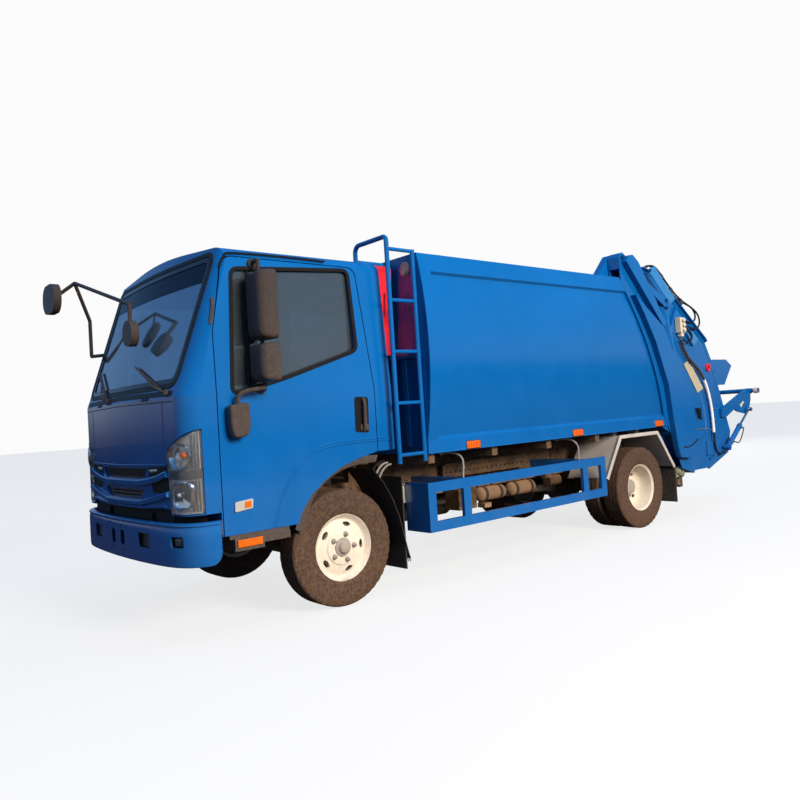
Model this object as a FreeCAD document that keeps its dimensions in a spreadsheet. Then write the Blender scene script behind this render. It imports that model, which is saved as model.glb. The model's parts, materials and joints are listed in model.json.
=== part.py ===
import FreeCAD, Part
import math
import os
import Sketcher
from FreeCAD import Rotation, Vector

# Garbage truck: light cab-over chassis with a rear-loading compactor body, in millimetres.
# +X is the truck's left, +Y its rear and +Z up. Distances along the truck are counted from the
# front axle, and front_axle_y sets that axle in the part's own frame.

SIZES = {
    # Chassis and wheels
    "front_axle_y": -2272,
    "wheelbase": 3360,
    "tyre_radius": 387.5,
    "tyre_width": 200,
    "tyre_side": 14,
    "tyre_wall": 16,
    "bead_radius": 206,
    "rim_flange": 226,
    "rim_wall": 9,
    "rim_inner": 196,
    "front_wheel_x": 768,
    "rear_outer_x": 866,
    "rear_inner_x": 636,
    "hub_radius": 78,
    "hub_proud": 46,
    "disc_set": 52,
    "rear_dish": 96,
    "king_x": 636,
    "king_radius": 18,
    "drum_radius": 152,
    "drum_width": 96,
    "steer_arm": 165,
    "tie_radius": 14,
    "rail_x": 345,
    "rail_width": 62,
    "rail_gauge": 7,
    "rail_low": 570,
    "rail_high": 760,
    "rail_front": -1040,
    "rail_rear": 3880,
    "rest_front": -820,
    "rest_thick": 26,
    "cross_depth": 90,
    "beam_width": 84,
    "beam_low": 300,
    "beam_high": 372,
    "beam_end": 600,
    "spring_width": 64,
    "spring_thick": 54,
    "spring_half": 560,
    "spring_rear_half": 425,
    "spring_eye": 30,
    "spring_gap": 0.3,
    "axle_tube": 62,
    "axle_bowl": 172,
    "axle_bowl_wide": 190,
    "shaft_radius": 38,
    "engine_front": -640,
    "engine_rear": 330,
    "engine_half": 235,
    "engine_low": 430,
    "engine_high": 930,
    "radiator_front": -790,
    "radiator_deep": 70,
    "radiator_half": 344.7,
    "tank_front": 1070,
    "tank_long": 760,
    "tank_wide": 330,
    "tank_low": 430,
    "tank_tall": 300,
    "battery_long": 420,
    "battery_gap": 60,
    "guard_front": 630,
    "guard_rear": 2737,
    "guard_low": 390,
    "guard_high": 741,
    "guard_bar": 72,
    "guard_deep": 30,
    "guard_wrap": 260,
    # Bumper and lamps
    "bumper_face": -1150,
    "bumper_low": 448,
    "bumper_high": 700,
    "bumper_half": 925,
    "bumper_rear": -880,
    "bumper_skin": 30,
    "bumper_corner": 210,
    "tow_x": 415,
    "tow_z": 586,
    "tow_radius": 22,
    "tow_wide": 160,
    "tow_tall": 86,
    "tow_reach": 66,
    "tow_wall": 18,
    "slit_x": 82,
    "slit_z": 578,
    "slit_wide": 66,
    "slit_tall": 92,
    "fog_x": 780,
    "fog_z": 594,
    "fog_wide": 84,
    "fog_tall": 58,
    "fog_set": 14,
    "fog_deep": 40,
    "hole_round": 16,
    # Load body
    "body_half": 1010,
    "body_front": 655,
    "body_low": 945,
    "body_high": 2390,
    "body_wall": 40,
    "body_band_low": 2238,
    "body_band_high": 2289,
    "body_bow": 150,
    "body_round": 2950,
    "panel_low_half": 991,
    "panel_bow_half": 1120,
    "panel_high_half": 1019,
    "panel_round": 2850,
    "panel_edge": 20,
    "body_strip_low": 1041,
    "body_strip_high": 1067,
    "body_rear_top": 3165,
    "body_rear_low": 3825,
    "frame_lap": 70,
    "subframe_tall": 115,
    "bearer_deep": 60,
    "fender_ahead": 604,
    "fender_low": 539,
    "fender_rise": 357,
    "fender_top": 901,
    "fender_fall": 266,
    "fender_behind": 531,
    "fender_wide": 300,
    "fender_skin": 12,
    "marker_long": 146,
    "marker_low": 950,
    "marker_tall": 60,
    "marker_proud": 8,
    "flap_low": 180,
    "flap_thick": 10,
    "flap_wide": 430,
    "flap_top": 560,
    "flap_front_y": 500,
    "flap_front_top": 800,
    "flap_front_low": 150,
    "ladder_x": 990,
    "ladder_radius": 17,
    "ladder_front": 408,
    "ladder_low": 900,
    "ladder_high": 2410,
    "rung_low": 958,
    "rung_step": 360,
    "loop_x": 620,
    "loop_z": 2485,
    "tank_gap": 34,
    "red_deep": 150,
    "red_low": 1680,
    "red_high": 2335,
    "red_left": 765,
    "red_right": 120,
    "red_taper": 70,
    "rear_glass_half": 780,
    # Tailgate
    "hinge_y": 3239,
    "hinge_z": 2588,
    "hinge_radius": 28,
    "gate_gap": 8,
    "column_wide": 130,
    "shell_wall": 12,
    "gate_floor": 430,
    "column_plate": 10,
    "slide_angle": 14,
    "slide_travel": 520,
    "slot_way": 1175,
    "link_width": 34,
    "link_y": 3440,
    "link_z": 2462,
    "slide_y": 3940,
    "slide_z": 2250,
    "slide_bore": 52,
    "slide_rod": 24,
    "carriage_room": 50,
    "carriage_long": 680,
    "carriage_thick": 70,
    "blade_long": 480,
    "blade_thick": 60,
    "blade_pin": 22,
    "gate_foot_y": 3905,
    "gate_foot_z": 890,
    "gate_eye_y": 3480,
    "gate_eye_z": 2270,
    "gate_bore": 36,
    "gate_rod": 20,
    "bin_foot_y": 5138,
    "bin_foot_z": 622,
    "bin_eye_y": 5713,
    "bin_eye_z": 1023,
    "bin_bore": 28,
    "bin_rod": 13,
    "lifter_plate": 25,
    "rim_front": 4940,
    "rim_top": 1618,
    "rim_knee": 5380,
    "rim_rear": 5505,
    "rim_rear_z": 1547,
    "rim_foot": 5307,
    "rim_low": 1328,
    "rim_root": 5090,
    "rim_beam": 70,
    "lamp_x": 690,
    "lamp_y": 4060,
    "lamp_z": 360,
    "lamp_long": 260,
    "lamp_tall": 110,
    "lamp_deep": 60,
    "bin_pivot_y": 5181,
    "bin_pivot_z": 1010,
    "bin_tube_y": 5870,
    "bin_tube_z": 1240,
    "bin_tube_radius": 28,
    "pin_radius": 16,
    # Cab
    "cab_half": 905,
    "cab_front": -1118,
    "cab_rear": 436,
    "cab_roof": 2392,
    "cab_wall": 42,
    "cab_sill": 600,
    "cab_floor": 1000,
    "cab_corner": 130,
    "cab_bow": 60,
    "cab_crown": 6500,
    "cab_belt": 1430,
    "cab_lean": 30,
    "roof_side": 2322,
    "roof_round": 95,
    "roof_crown": 4600,
    "roof_front_round": 120,
    "roof_rear_round": 150,
    "nose_low": 742,
    "nose_panel": 776,
    "nose_deep": 110,
    "nose_back": 200,
    "well_radius": 520,
    "arch_front": -362,
    "tunnel_half": 440,
    "tunnel_top": 985,
    "screen_low": 1500,
    "screen_high": 2290,
    "screen_drift": 326,
    "screen_foot_half": 775,
    "screen_head_half": 800,
    "screen_round": 85,
    "screen_thick": 6,
    "door_front": -852,
    "door_rear": 287,
    "door_top": 2262,
    "door_knee": 1800,
    "door_slope": 95,
    "door_round": 70,
    "window_round": 45,
    "door_gap": 6,
    "glass_gap": 0.3,
    "headlamp_inner": 660,
    "headlamp_foot": 700,
    "headlamp_low": 748,
    "headlamp_mid": 1119,
    "headlamp_high": 1236,
    "headlamp_rear": -958,
    "headlamp_proud": 4,
    "headlamp_deep": 34,
    "nose_half": 690,
    "slot_top": 1014,
    "slot_low": 950,
    "slot_top_half": 400,
    "slot_low_half": 345,
    "intake_top": 884,
    "intake_low": 826,
    "intake_top_half": 360,
    "intake_low_half": 272,
    "grille_set": 16,
    "slat_wide": 7,
    "slat_step": 23,
    "mirror_x": 1020,
    "mirror_y": -570,
    "mirror_wide": 184,
    "mirror_deep": 70,
    "mirror_low": 1744,
    "mirror_high": 2160,
    "kerb_low": 1489,
    "kerb_high": 1721,
    "arm_radius": 13,
    "arm_top": 2225,
    "arm_foot": 1452,
    "bracket_x": -936,
    "bracket_y": -975,
    "bracket_low": 1830,
    "bracket_top": 2100,
    "apex_x": -726,
    "apex_y": -1130,
    "apex_z": 2345,
    "reach_x": 150,
    "reach_y": -1060,
    "reach_z": 2063,
    "oval_x": -862,
    "oval_y": -1250,
    "oval_z": 2240,
    "oval_wide": 150,
    "oval_tall": 105,
    "oval_deep": 50,
    "round_radius": 84,
    "round_drop": 190,
    "seat_wide": 500,
    "seat_deep": 460,
    "seat_thick": 130,
    "seat_back": 620,
    "seat_x": 440,
    "seat_y": 150,
    "dash_deep": 330,
    "dash_high": 1390,
    "dash_low": 1020,
    "wheel_rim": 215,
    "wheel_tube": 14,
    "wheel_y": -490,
    "wheel_z": 1430,
    "step_front": -790,
    "step_rear": -600,
    "step_low": 500,
    "step_high": 583,
    "step_wide": 240,
    "overrun": 50,
}

document = FreeCAD.newDocument("garbage_truck")
sheet = document.addObject("Spreadsheet::Sheet", "Sizes")


class Size:
    """A length or angle that knows its number and the sheet's formula for it."""

    def __init__(self, number, formula):
        self.number = number
        self.formula = formula

    def __add__(self, other):
        other = as_size(other)
        return Size(self.number + other.number, f"({self.formula} + {other.formula})")

    def __sub__(self, other):
        other = as_size(other)
        return Size(self.number - other.number, f"({self.formula} - {other.formula})")

    def __mul__(self, other):
        other = as_size(other)
        return Size(self.number * other.number, f"({self.formula} * {other.formula})")

    def __truediv__(self, other):
        other = as_size(other)
        return Size(self.number / other.number, f"({self.formula} / {other.formula})")

    def __neg__(self):
        return Size(-self.number, f"(0 - {self.formula})")

    __radd__ = __add__
    __rmul__ = __mul__


def as_size(value):
    """A plain share or zero, wrapped so that it joins a formula."""
    return value if isinstance(value, Size) else Size(value, f"({value})")


def number(value):
    """The plain number behind a size."""
    return value.number if isinstance(value, Size) else value


def sine(angle):
    """The sine of an angle that the sheet keeps in degrees."""
    return Size(math.sin(math.radians(angle.number)), f"sin({angle.formula} * 1 deg)")


def cosine(angle):
    """The cosine of an angle that the sheet keeps in degrees."""
    return Size(math.cos(math.radians(angle.number)), f"cos({angle.formula} * 1 deg)")


def distance(start, end):
    """The straight length between two points."""
    squares = [(b - a) * (b - a) for a, b in zip(start, end)]
    total = squares[0] + squares[1] + squares[2]
    return Size(math.sqrt(total.number), f"sqrt({total.formula})")


class Sizes:
    """Each size of the sheet by its alias."""

    def __init__(self, table):
        for row, (alias, value) in enumerate(table.items(), start=1):
            sheet.set(f"A{row}", alias)
            sheet.set(f"B{row}", str(value))
            sheet.setAlias(f"B{row}", alias)
            setattr(self, alias, Size(value, f"Sizes.{alias}"))


size = Sizes(SIZES)
document.recompute()


def along(distance_behind):
    """The place along the truck of something that far behind the front axle."""
    return size.front_axle_y + distance_behind


REAR_AXLE = along(size.wheelbase)
WHEEL_Z = size.tyre_radius
COLUMN_INNER = size.body_half - size.column_wide
COLUMN_MIDDLE = size.body_half - size.column_wide / 2
CARRIAGE_HALF = COLUMN_INNER - size.carriage_room
WHEEL_RAKE = -35

# Chassis and bumper, as shares of the sizes that they follow
cross_reach_share = 0.96
rest_outer_share = 1.3
rest_inner_share = 1.1
rest_drop_share = 1.8
front_rest_share = 1.2
shaft_joint_share = 1.3
bumper_core_share = 2.5
flap_outer_share = 1.2

# Load body, ladder and lift ears
panel_lap_share = 1.5
ear_share = 1.3
ear_gap_share = 1.1
rung_share = 0.8
bend_share = 0.45

# Tailgate, blade and cylinders
bay_top_share = 3.2
link_end_share = 0.9
rim_top_share = 1.5
rim_foot_share = 0.7
lug_outer_share = 1.3
lug_inner_share = 1.2
small_pin_share = 0.7
rod_reach_share = 1.5
blade_shares = [(1.2, 0.5), (0.6, 1), (-0.2, 1), (0.2, 0.5)]
blade_back_share = 1.4
barrel_share = 0.58
foot_half_share = 1.1
foot_eye_share = 1.15
foot_hole_share = 1.5
stem_from_share = 3.5
rod_eye_share = 1.6
tube_end_share = 0.9

# Cab, doors and mirrors
arch_inset_share = 0.7
door_top_share = 0.08
window_shares = (0.085, 0.125, 0.87, 0.895, 0.36)
window_step_share = 3.7
seat_cut_share = 1.5
arm_lean_share = 0.87
oval_round_share = 0.95


# Shapes bound to the sheet

def bind(piece, **values):
    """Ties each named property of a piece to its formula."""
    for name, value in values.items():
        piece.setExpression(name, as_size(value).formula)


def place(piece, point, rotation=None):
    """Sets a piece down at a point, turned if asked."""
    base = Vector(number(point[0]), number(point[1]), number(point[2]))
    piece.Placement = FreeCAD.Placement(base, rotation or Rotation())
    for axis, value in zip("xyz", point):
        piece.setExpression(f".Placement.Base.{axis}", as_size(value).formula)
    return piece


def box(name, low, high):
    """A box between two opposite corners."""
    piece = document.addObject("Part::Box", name)
    bind(piece, Length=high[0] - low[0], Width=high[1] - low[1], Height=high[2] - low[2])
    return place(piece, low)


def rod(name, start, end, radius):
    """A round bar between two points."""
    piece = document.addObject("Part::Cylinder", name)
    bind(piece, Radius=radius, Height=distance(start, end))
    way = Vector(*[number(b) - number(a) for a, b in zip(start, end)])
    return place(piece, start, Rotation(Vector(0, 0, 1), way))


def boolean(kind, name, pieces):
    """One boolean feature over some pieces."""
    piece = document.addObject(f"Part::{kind}", name)
    if kind == "Cut":
        piece.Base, piece.Tool = pieces
    elif kind == "Compound":
        piece.Links = pieces
    else:
        piece.Shapes = pieces
    return piece


def fuse(name, *pieces):
    """Some pieces as one solid."""
    whole = boolean("MultiFuse", name, list(pieces))
    whole.Refine = True
    return whole


def common(name, *pieces):
    """What some pieces share."""
    return boolean("MultiCommon", name, list(pieces))


def cut(name, base, *tools):
    """A piece less its tools."""
    tool = tools[0] if len(tools) == 1 else boolean("Compound", f"{name}_tools", list(tools))
    return boolean("Cut", name, [base, tool])


def group(name, *pieces):
    """Solids that one node holds side by side."""
    return boolean("Compound", name, list(pieces))


def mirrored(name, piece):
    """The same piece on the truck's right side."""
    copy = document.addObject("Part::Mirroring", name)
    copy.Source = piece
    copy.Base = Vector(0, 0, 0)
    copy.Normal = Vector(1, 0, 0)
    return copy


def both_sides(name, piece):
    """A piece and its mirror image in one node."""
    return group(name, piece, mirrored(f"{name}_right", piece))


def origin_plane(body, role):
    """The body's own origin plane that has a role."""
    return next(item for item in body.Origin.OriginFeatures if item.Role == role)


def pin_point(sketch, item, end, u, v):
    """Ties a point of the sketch to its formulas."""
    for kind, value in (("DistanceX", u), ("DistanceY", v)):
        rule = Sketcher.Constraint(kind, -1, 1, item, end, float(number(value)))
        index = sketch.addConstraint(rule)
        sketch.setExpression(f"Constraints[{index}]", as_size(value).formula)


def draw_outline(sketch, outline):
    """Draws a closed outline whose corners may carry a radius."""
    corners = []
    for corner in outline:
        spot = Vector(number(corner[0]), number(corner[1]), 0)
        corners.append((spot, corner, corner[2] if len(corner) > 2 else None))
    count = len(corners)
    ends = []
    for index, (spot, corner, radius) in enumerate(corners):
        before = (corners[index - 1][0] - spot).normalize()
        after = (corners[(index + 1) % count][0] - spot).normalize()
        if radius is None:
            ends.append((spot, spot, None))
            continue
        half = before.getAngle(after) / 2
        reach = number(radius) / math.tan(half)
        middle = (before + after).normalize() * (number(radius) / math.sin(half)) + spot
        ends.append((spot + before * reach, spot + after * reach, middle))
    lines = []
    for index in range(count):
        line = Part.LineSegment(ends[index][1], ends[(index + 1) % count][0])
        lines.append(sketch.addGeometry(line, False))
    for index, (spot, corner, radius) in enumerate(corners):
        arriving, leaving = lines[index - 1], lines[index]
        if radius is None:
            sketch.addConstraint(Sketcher.Constraint("Coincident", arriving, 2, leaving, 1))
            pin_point(sketch, leaving, 1, corner[0], corner[1])
            continue
        first, last, middle = ends[index]
        turn = (first - middle).cross(last - middle).z
        begin, finish = (first, last) if turn > 0 else (last, first)
        angles = [math.atan2(p.y - middle.y, p.x - middle.x) for p in (begin, finish)]
        if angles[1] < angles[0]:
            angles[1] += 2 * math.pi
        circle = Part.Circle(middle, Vector(0, 0, 1), number(radius))
        arc = sketch.addGeometry(Part.ArcOfCircle(circle, *angles), False)
        arc_in, arc_out = (1, 2) if turn > 0 else (2, 1)
        sketch.addConstraint(Sketcher.Constraint("Tangent", arriving, 2, arc, arc_in))
        sketch.addConstraint(Sketcher.Constraint("Tangent", leaving, 1, arc, arc_out))
        index_radius = sketch.addConstraint(Sketcher.Constraint("Radius", arc, number(radius)))
        sketch.setExpression(f"Constraints[{index_radius}]", as_size(radius).formula)
        point = sketch.addGeometry(Part.Point(spot), True)
        sketch.addConstraint(Sketcher.Constraint("PointOnObject", point, 1, arriving))
        sketch.addConstraint(Sketcher.Constraint("PointOnObject", point, 1, leaving))
        pin_point(sketch, point, 1, corner[0], corner[1])


def draw_circle(sketch, u, v, radius):
    """Draws a full circle."""
    circle = Part.Circle(Vector(number(u), number(v), 0), Vector(0, 0, 1), number(radius))
    item = sketch.addGeometry(circle, False)
    index = sketch.addConstraint(Sketcher.Constraint("Radius", item, number(radius)))
    sketch.setExpression(f"Constraints[{index}]", as_size(radius).formula)
    pin_point(sketch, item, 3, u, v)


def new_sketch(body, plane, outlines, circles=()):
    """A sketch on one of the body's origin planes."""
    sketch = body.newObject("Sketcher::SketchObject", f"{body.Name}_sketch")
    sketch.AttachmentSupport = (origin_plane(body, f"{plane}_Plane"), [""])
    sketch.MapMode = "FlatFace"
    for outline in outlines:
        draw_outline(sketch, outline)
    for circle in circles:
        draw_circle(sketch, *circle)
    return sketch


PAD_AXIS = {"YZ": "x", "XZ": "y", "XY": "z"}


def slab(name, plane, outline, start, end, holes=(), circles=()):
    """An outline with its holes, padded from one place to another across its plane."""
    body = document.addObject("PartDesign::Body", name)
    sketch = new_sketch(body, plane, [outline, *holes], circles)
    pad = body.newObject("PartDesign::Pad", f"{name}_pad")
    pad.Profile = sketch
    pad.Reversed = plane == "XZ"
    bind(pad, Length=end - start)
    base = {"x": 0, "y": 0, "z": 0}
    base[PAD_AXIS[plane]] = start
    return place(body, tuple(base.values()))


def leaning(name, outline, low, high, drift):
    """An outline seen from above, padded upwards while it drifts to the rear."""
    body = document.addObject("PartDesign::Body", name)
    sketch = new_sketch(body, "XY", [outline])
    pad = body.newObject("PartDesign::Pad", f"{name}_pad")
    pad.Profile = sketch
    pad.UseCustomVector = True
    pad.AlongSketchNormal = True
    pad.Direction = Vector(0, number(drift), number(high - low))
    pad.setExpression("Direction.y", as_size(drift).formula)
    pad.setExpression("Direction.z", as_size(high - low).formula)
    bind(pad, Length=high - low)
    return place(body, (0, 0, low))


def rounded(x, z, wide, tall, corner):
    """A rectangle about a middle, with rounded corners."""
    return [(x - wide / 2, z - tall / 2, corner), (x + wide / 2, z - tall / 2, corner),
            (x + wide / 2, z + tall / 2, corner), (x - wide / 2, z + tall / 2, corner)]


def lathe(name, outline, centre, rotation=None):
    """An outline of places along the axle and radii, turned about the axle."""
    body = document.addObject("PartDesign::Body", name)
    sketch = new_sketch(body, "XY", [outline])
    turn = body.newObject("PartDesign::Revolution", f"{name}_turn")
    turn.Profile = sketch
    turn.ReferenceAxis = (sketch, ["H_Axis"])
    turn.Angle = 360
    return place(body, centre, rotation)


def scaled(outline, start, span):
    """An outline of shares set out from a start over a span."""
    return [(start[0] + span[0] * u, start[1] + span[1] * v) for u, v in outline]


# Wheels

def tyre(name, side, wheel_x, axle_y):
    """A tyre with bulged walls, open at the bead."""
    half = size.tyre_width / 2
    tread = half - size.tyre_side
    shoulder = size.tyre_radius - size.tyre_side
    waist = (size.tyre_radius + size.rim_flange) / 2
    inside = size.tyre_wall
    outer = [(-tread, size.tyre_radius), (-half, shoulder), (-half, waist),
             (-tread, size.bead_radius + size.tyre_wall), (-tread, size.bead_radius)]
    cavity = [(-tread + inside, size.bead_radius), (-tread + inside, shoulder - inside)]
    left = outer + cavity
    right = [(-u, v) for u, v in reversed(left)]
    return lathe(name, left + right, (wheel_x * side, axle_y, WHEEL_Z))


def rim_profile(out, disc_at):
    """Half section of a rim with its disc at a place along the axle, out being the outer side."""
    edge = size.tyre_width / 2 - size.tyre_side - size.tyre_wall
    lip = size.rim_wall
    well = size.rim_inner
    bead = size.bead_radius - size.spring_gap
    disc = disc_at * out
    back = disc - size.rim_wall * out
    return [(edge * out, bead), (edge * out, well), (disc, well - lip),
            (disc, size.hub_radius), (disc + size.hub_proud * out, size.hub_radius),
            (disc + size.hub_proud * out, 0), (back, 0), (back, well - lip),
            (edge * -out, well), (edge * -out, bead)]


def front_rim(name, side):
    """A front wheel's rim, disc and hub cap."""
    outline = rim_profile(side, size.disc_set)
    return lathe(name, outline, (size.front_wheel_x * side, size.front_axle_y, WHEEL_Z))


def rear_rims(name, side):
    """Twin rims bolted face to face on one hub."""
    edge = size.tyre_width / 2 - size.tyre_side - size.tyre_wall
    bead = size.bead_radius - size.spring_gap
    well = size.rim_inner
    apart = (size.rear_outer_x - size.rear_inner_x) / 2
    disc = size.rim_wall
    hub = size.rear_dish
    outline = [(-apart - edge, bead), (-apart - edge, well), (-disc, well - size.rim_wall),
               (-disc, 0), (hub, 0), (hub, size.hub_radius), (disc, size.hub_radius),
               (disc, well - size.rim_wall), (apart + edge, well), (apart + edge, bead),
               (apart - edge, bead), (apart - edge, well + size.rim_wall / 2),
               (edge - apart, well + size.rim_wall / 2), (edge - apart, bead)]
    if side < 0:
        outline = [(-u, v) for u, v in reversed(outline)]
    middle = (size.rear_outer_x + size.rear_inner_x) / 2
    return lathe(name, outline, (middle * side, REAR_AXLE, WHEEL_Z))


def knuckle(name, side):
    """Brake drum, stub axle, kingpin boss and steering arm of one front wheel."""
    back = size.front_wheel_x - size.drum_width
    drum = rod(f"{name}_drum", (back * side, size.front_axle_y, WHEEL_Z),
               ((size.front_wheel_x + size.disc_set - size.rim_wall - size.spring_gap) * side,
                size.front_axle_y, WHEEL_Z), size.drum_radius)
    boss = rod(f"{name}_boss",
               (size.king_x * side, size.front_axle_y, size.beam_high + size.spring_gap),
               (size.king_x * side, size.front_axle_y, size.beam_high + size.king_radius * 4),
               size.king_radius * 2)
    foot = rod(f"{name}_foot",
               (size.king_x * side, size.front_axle_y, size.beam_low - size.king_radius * 3),
               (size.king_x * side, size.front_axle_y, size.beam_low - size.spring_gap),
               size.king_radius * 2)
    near = size.king_x + size.king_radius * 2 + size.glass_gap * 4
    ends = [near * side, (near + size.king_radius) * side]
    low_end, high_end = ends if side > 0 else reversed(ends)
    web = box(f"{name}_web", (low_end, size.front_axle_y - size.king_radius * 2,
                              size.beam_low - size.king_radius * 3),
              (high_end, size.front_axle_y + size.king_radius * 2,
               size.beam_high + size.king_radius * 4))
    links = [box(f"{name}_link_{index}",
                 (min((size.king_x * side, near * side), key=number),
                  size.front_axle_y - size.king_radius, z0),
                 (max((size.king_x * side, near * side), key=number),
                  size.front_axle_y + size.king_radius, z1))
             for index, (z0, z1) in enumerate((
                 (size.beam_low - size.king_radius * 3, size.beam_low - size.king_radius),
                 (size.beam_high + size.king_radius, size.beam_high + size.king_radius * 4)))]
    low = size.beam_low - size.king_radius * 3
    arm = box(f"{name}_arm", (size.king_x * side - size.king_radius, size.front_axle_y, low),
              (size.king_x * side + size.king_radius, size.front_axle_y + size.steer_arm,
               low + size.king_radius))
    return fuse(name, drum, boss, foot, web, *links, arm)


for side, hand in ((1, "left"), (-1, "right")):
    tyre(f"tyre_front_{hand}", side, size.front_wheel_x, size.front_axle_y)
    front_rim(f"rim_front_{hand}", side)
    group(f"tyres_rear_{hand}",
          tyre(f"tyre_outer_{hand}", side, size.rear_outer_x, REAR_AXLE),
          tyre(f"tyre_inner_{hand}", side, size.rear_inner_x, REAR_AXLE))
    rear_rims(f"rims_rear_{hand}", side)
    knuckle(f"knuckle_{hand}", side)

tie_z = size.beam_low - size.king_radius * 3 - size.tie_radius - size.spring_gap
rod("tie_rod", (size.king_x, along(size.steer_arm - size.tie_radius), tie_z),
    (-size.king_x, along(size.steer_arm - size.tie_radius), tie_z), size.tie_radius)


# Chassis

def rail(name, low, high, front, rear):
    """A channel rail on the left side, open to the middle."""
    x0 = size.rail_x
    x1 = size.rail_x + size.rail_width
    gauge = size.rail_gauge
    outline = [(x0, low), (x1, low), (x1, high), (x0, high), (x0, high - gauge),
               (x1 - gauge, high - gauge), (x1 - gauge, low + gauge), (x0, low + gauge)]
    return slab(name, "XZ", outline, front, rear)


def cross_members(name, places, low, high, deep):
    """Boxes between the rails."""
    x0 = size.rail_x
    return [box(f"{name}_{index}", (-x0, spot - deep / 2, low), (x0, spot + deep / 2, high))
            for index, spot in enumerate(places)]


frame_left = rail("rail_left", size.rail_low, size.rail_high, along(size.rail_front),
                  along(size.rail_rear))
frame_span = size.rail_rear - size.rail_front
cross_shares = (0.01, 0.33, 0.52, 0.72, 0.93)
crosses = cross_members("cross",
                        [along(size.rail_front + size.cross_depth + frame_span * s * cross_reach_share)
                                  for s in cross_shares],
                        size.rail_low, size.rail_high, size.cross_depth)
lamp_rail = size.lamp_tall / 4
drop = box("lamp_drop",
           (size.rail_x, along(size.rail_rear) - size.bearer_deep, size.lamp_z - lamp_rail),
           (size.rail_x + size.rail_width, along(size.rail_rear), size.rail_low + size.rail_gauge / 2))
reach_back = box("lamp_reach",
                 (size.rail_x, along(size.rail_rear) - size.bearer_deep, size.lamp_z - lamp_rail),
                 (size.rail_x + size.rail_width, along(size.lamp_y) - size.spring_gap,
                  size.lamp_z + lamp_rail))
lamp_bar = box("lamp_bar", (-size.lamp_x - size.lamp_long, along(size.lamp_y) - size.bearer_deep / 2,
                            size.lamp_z - lamp_rail),
               (size.lamp_x + size.lamp_long, along(size.lamp_y) - size.spring_gap,
                size.lamp_z + lamp_rail))
carrier = fuse("lamp_carrier", drop, reach_back)
rest_top = size.cab_floor - size.glass_gap
rest_y = along(size.cab_rear) - size.bearer_deep
rest_post = box("rest_post", (size.rail_x, rest_y, size.rail_high - size.rail_gauge),
                (size.rail_x + size.rail_width, rest_y + size.rail_width, rest_top - size.bearer_deep))
rest_bar = box("rest_bar",
               (-size.tunnel_half * rest_outer_share, rest_y,
                rest_top - size.bearer_deep * rest_drop_share),
               (size.tunnel_half * rest_outer_share, rest_y + size.rail_width,
                rest_top - size.bearer_deep))
rest_pad = box("rest_pad", (size.tunnel_half * rest_inner_share, rest_y, rest_top - size.bearer_deep),
               (size.tunnel_half * rest_outer_share, rest_y + size.rail_width, rest_top))
front_rest = box("front_rest",
                 (size.rail_x + size.rail_width / 2, along(size.rest_front),
                  size.cab_sill - size.rest_thick),
                 (size.tunnel_half * front_rest_share, along(size.rest_front) + size.bearer_deep,
                  size.cab_sill - size.glass_gap))
rests = fuse("cab_rests", rest_post, rest_pad, rest_bar, front_rest, frame_left)
fuse("chassis_frame", rests, mirrored("rail_right", rests), *crosses, carrier,
     mirrored("lamp_carrier_right", carrier), lamp_bar)

beam = box("beam_bar", (-size.beam_end, size.front_axle_y - size.beam_width / 2, size.beam_low),
           (size.beam_end, size.front_axle_y + size.beam_width / 2, size.beam_high))
bosses = [rod(f"king_boss_{side}", (size.king_x * side, size.front_axle_y, size.beam_low),
              (size.king_x * side, size.front_axle_y, size.beam_high), size.king_radius * 2)
          for side in (1, -1)]
fuse("front_axle", beam, *bosses)

axle_end = (size.rear_outer_x + size.rear_inner_x) / 2 - size.rim_wall - size.spring_gap
casing = rod("axle_tube_bar", (-axle_end, REAR_AXLE, WHEEL_Z), (axle_end, REAR_AXLE, WHEEL_Z),
             size.axle_tube)
bowl = lathe("axle_bowl_body",
             [(-size.axle_bowl_wide, 0), (size.axle_bowl_wide, 0),
              (size.axle_bowl_wide / 2, size.axle_bowl), (-size.axle_bowl_wide / 2, size.axle_bowl)],
             (0, REAR_AXLE, WHEEL_Z))
fuse("rear_axle", casing, bowl)


def spring(name, middle_y, half, seat):
    """A leaf spring pack of the left side, thickest over its axle."""
    x0 = size.rail_x
    thick = size.spring_thick
    eye = size.spring_eye
    outline = [(middle_y - half, seat + thick), (middle_y - half / 2, seat + thick / 2),
               (middle_y - thick, seat), (middle_y + thick, seat),
               (middle_y + half / 2, seat + thick / 2), (middle_y + half, seat + thick),
               (middle_y + half, seat + thick + eye), (middle_y, seat + thick + eye / 2),
               (middle_y - half, seat + thick + eye)]
    return slab(name, "YZ", outline, x0, x0 + size.spring_width)


front_spring = spring("spring_front", size.front_axle_y, size.spring_half,
                      size.beam_high + size.spring_gap)
rear_spring = spring("spring_rear", REAR_AXLE, size.spring_rear_half,
                     WHEEL_Z + size.axle_tube + size.spring_gap)


def hangers(name, middle_y, half, seat):
    """Brackets that carry a spring's eyes under the rail."""
    low = seat + size.spring_thick + size.spring_eye + size.spring_gap
    wide = size.spring_eye
    return [box(f"{name}_{index}", (size.rail_x, middle_y + half * way - wide, low),
                (size.rail_x + size.spring_width, middle_y + half * way + wide, size.rail_low))
            for index, way in enumerate((-1, 1))]


front_hangers = hangers("hanger_front", size.front_axle_y, size.spring_half,
                        size.beam_high + size.spring_gap)
rear_hangers = hangers("hanger_rear", REAR_AXLE, size.spring_rear_half,
                       WHEEL_Z + size.axle_tube + size.spring_gap)
left_springs = group("springs_left", front_spring, rear_spring, *front_hangers, *rear_hangers)
both_sides("leaf_springs", left_springs)

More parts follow.
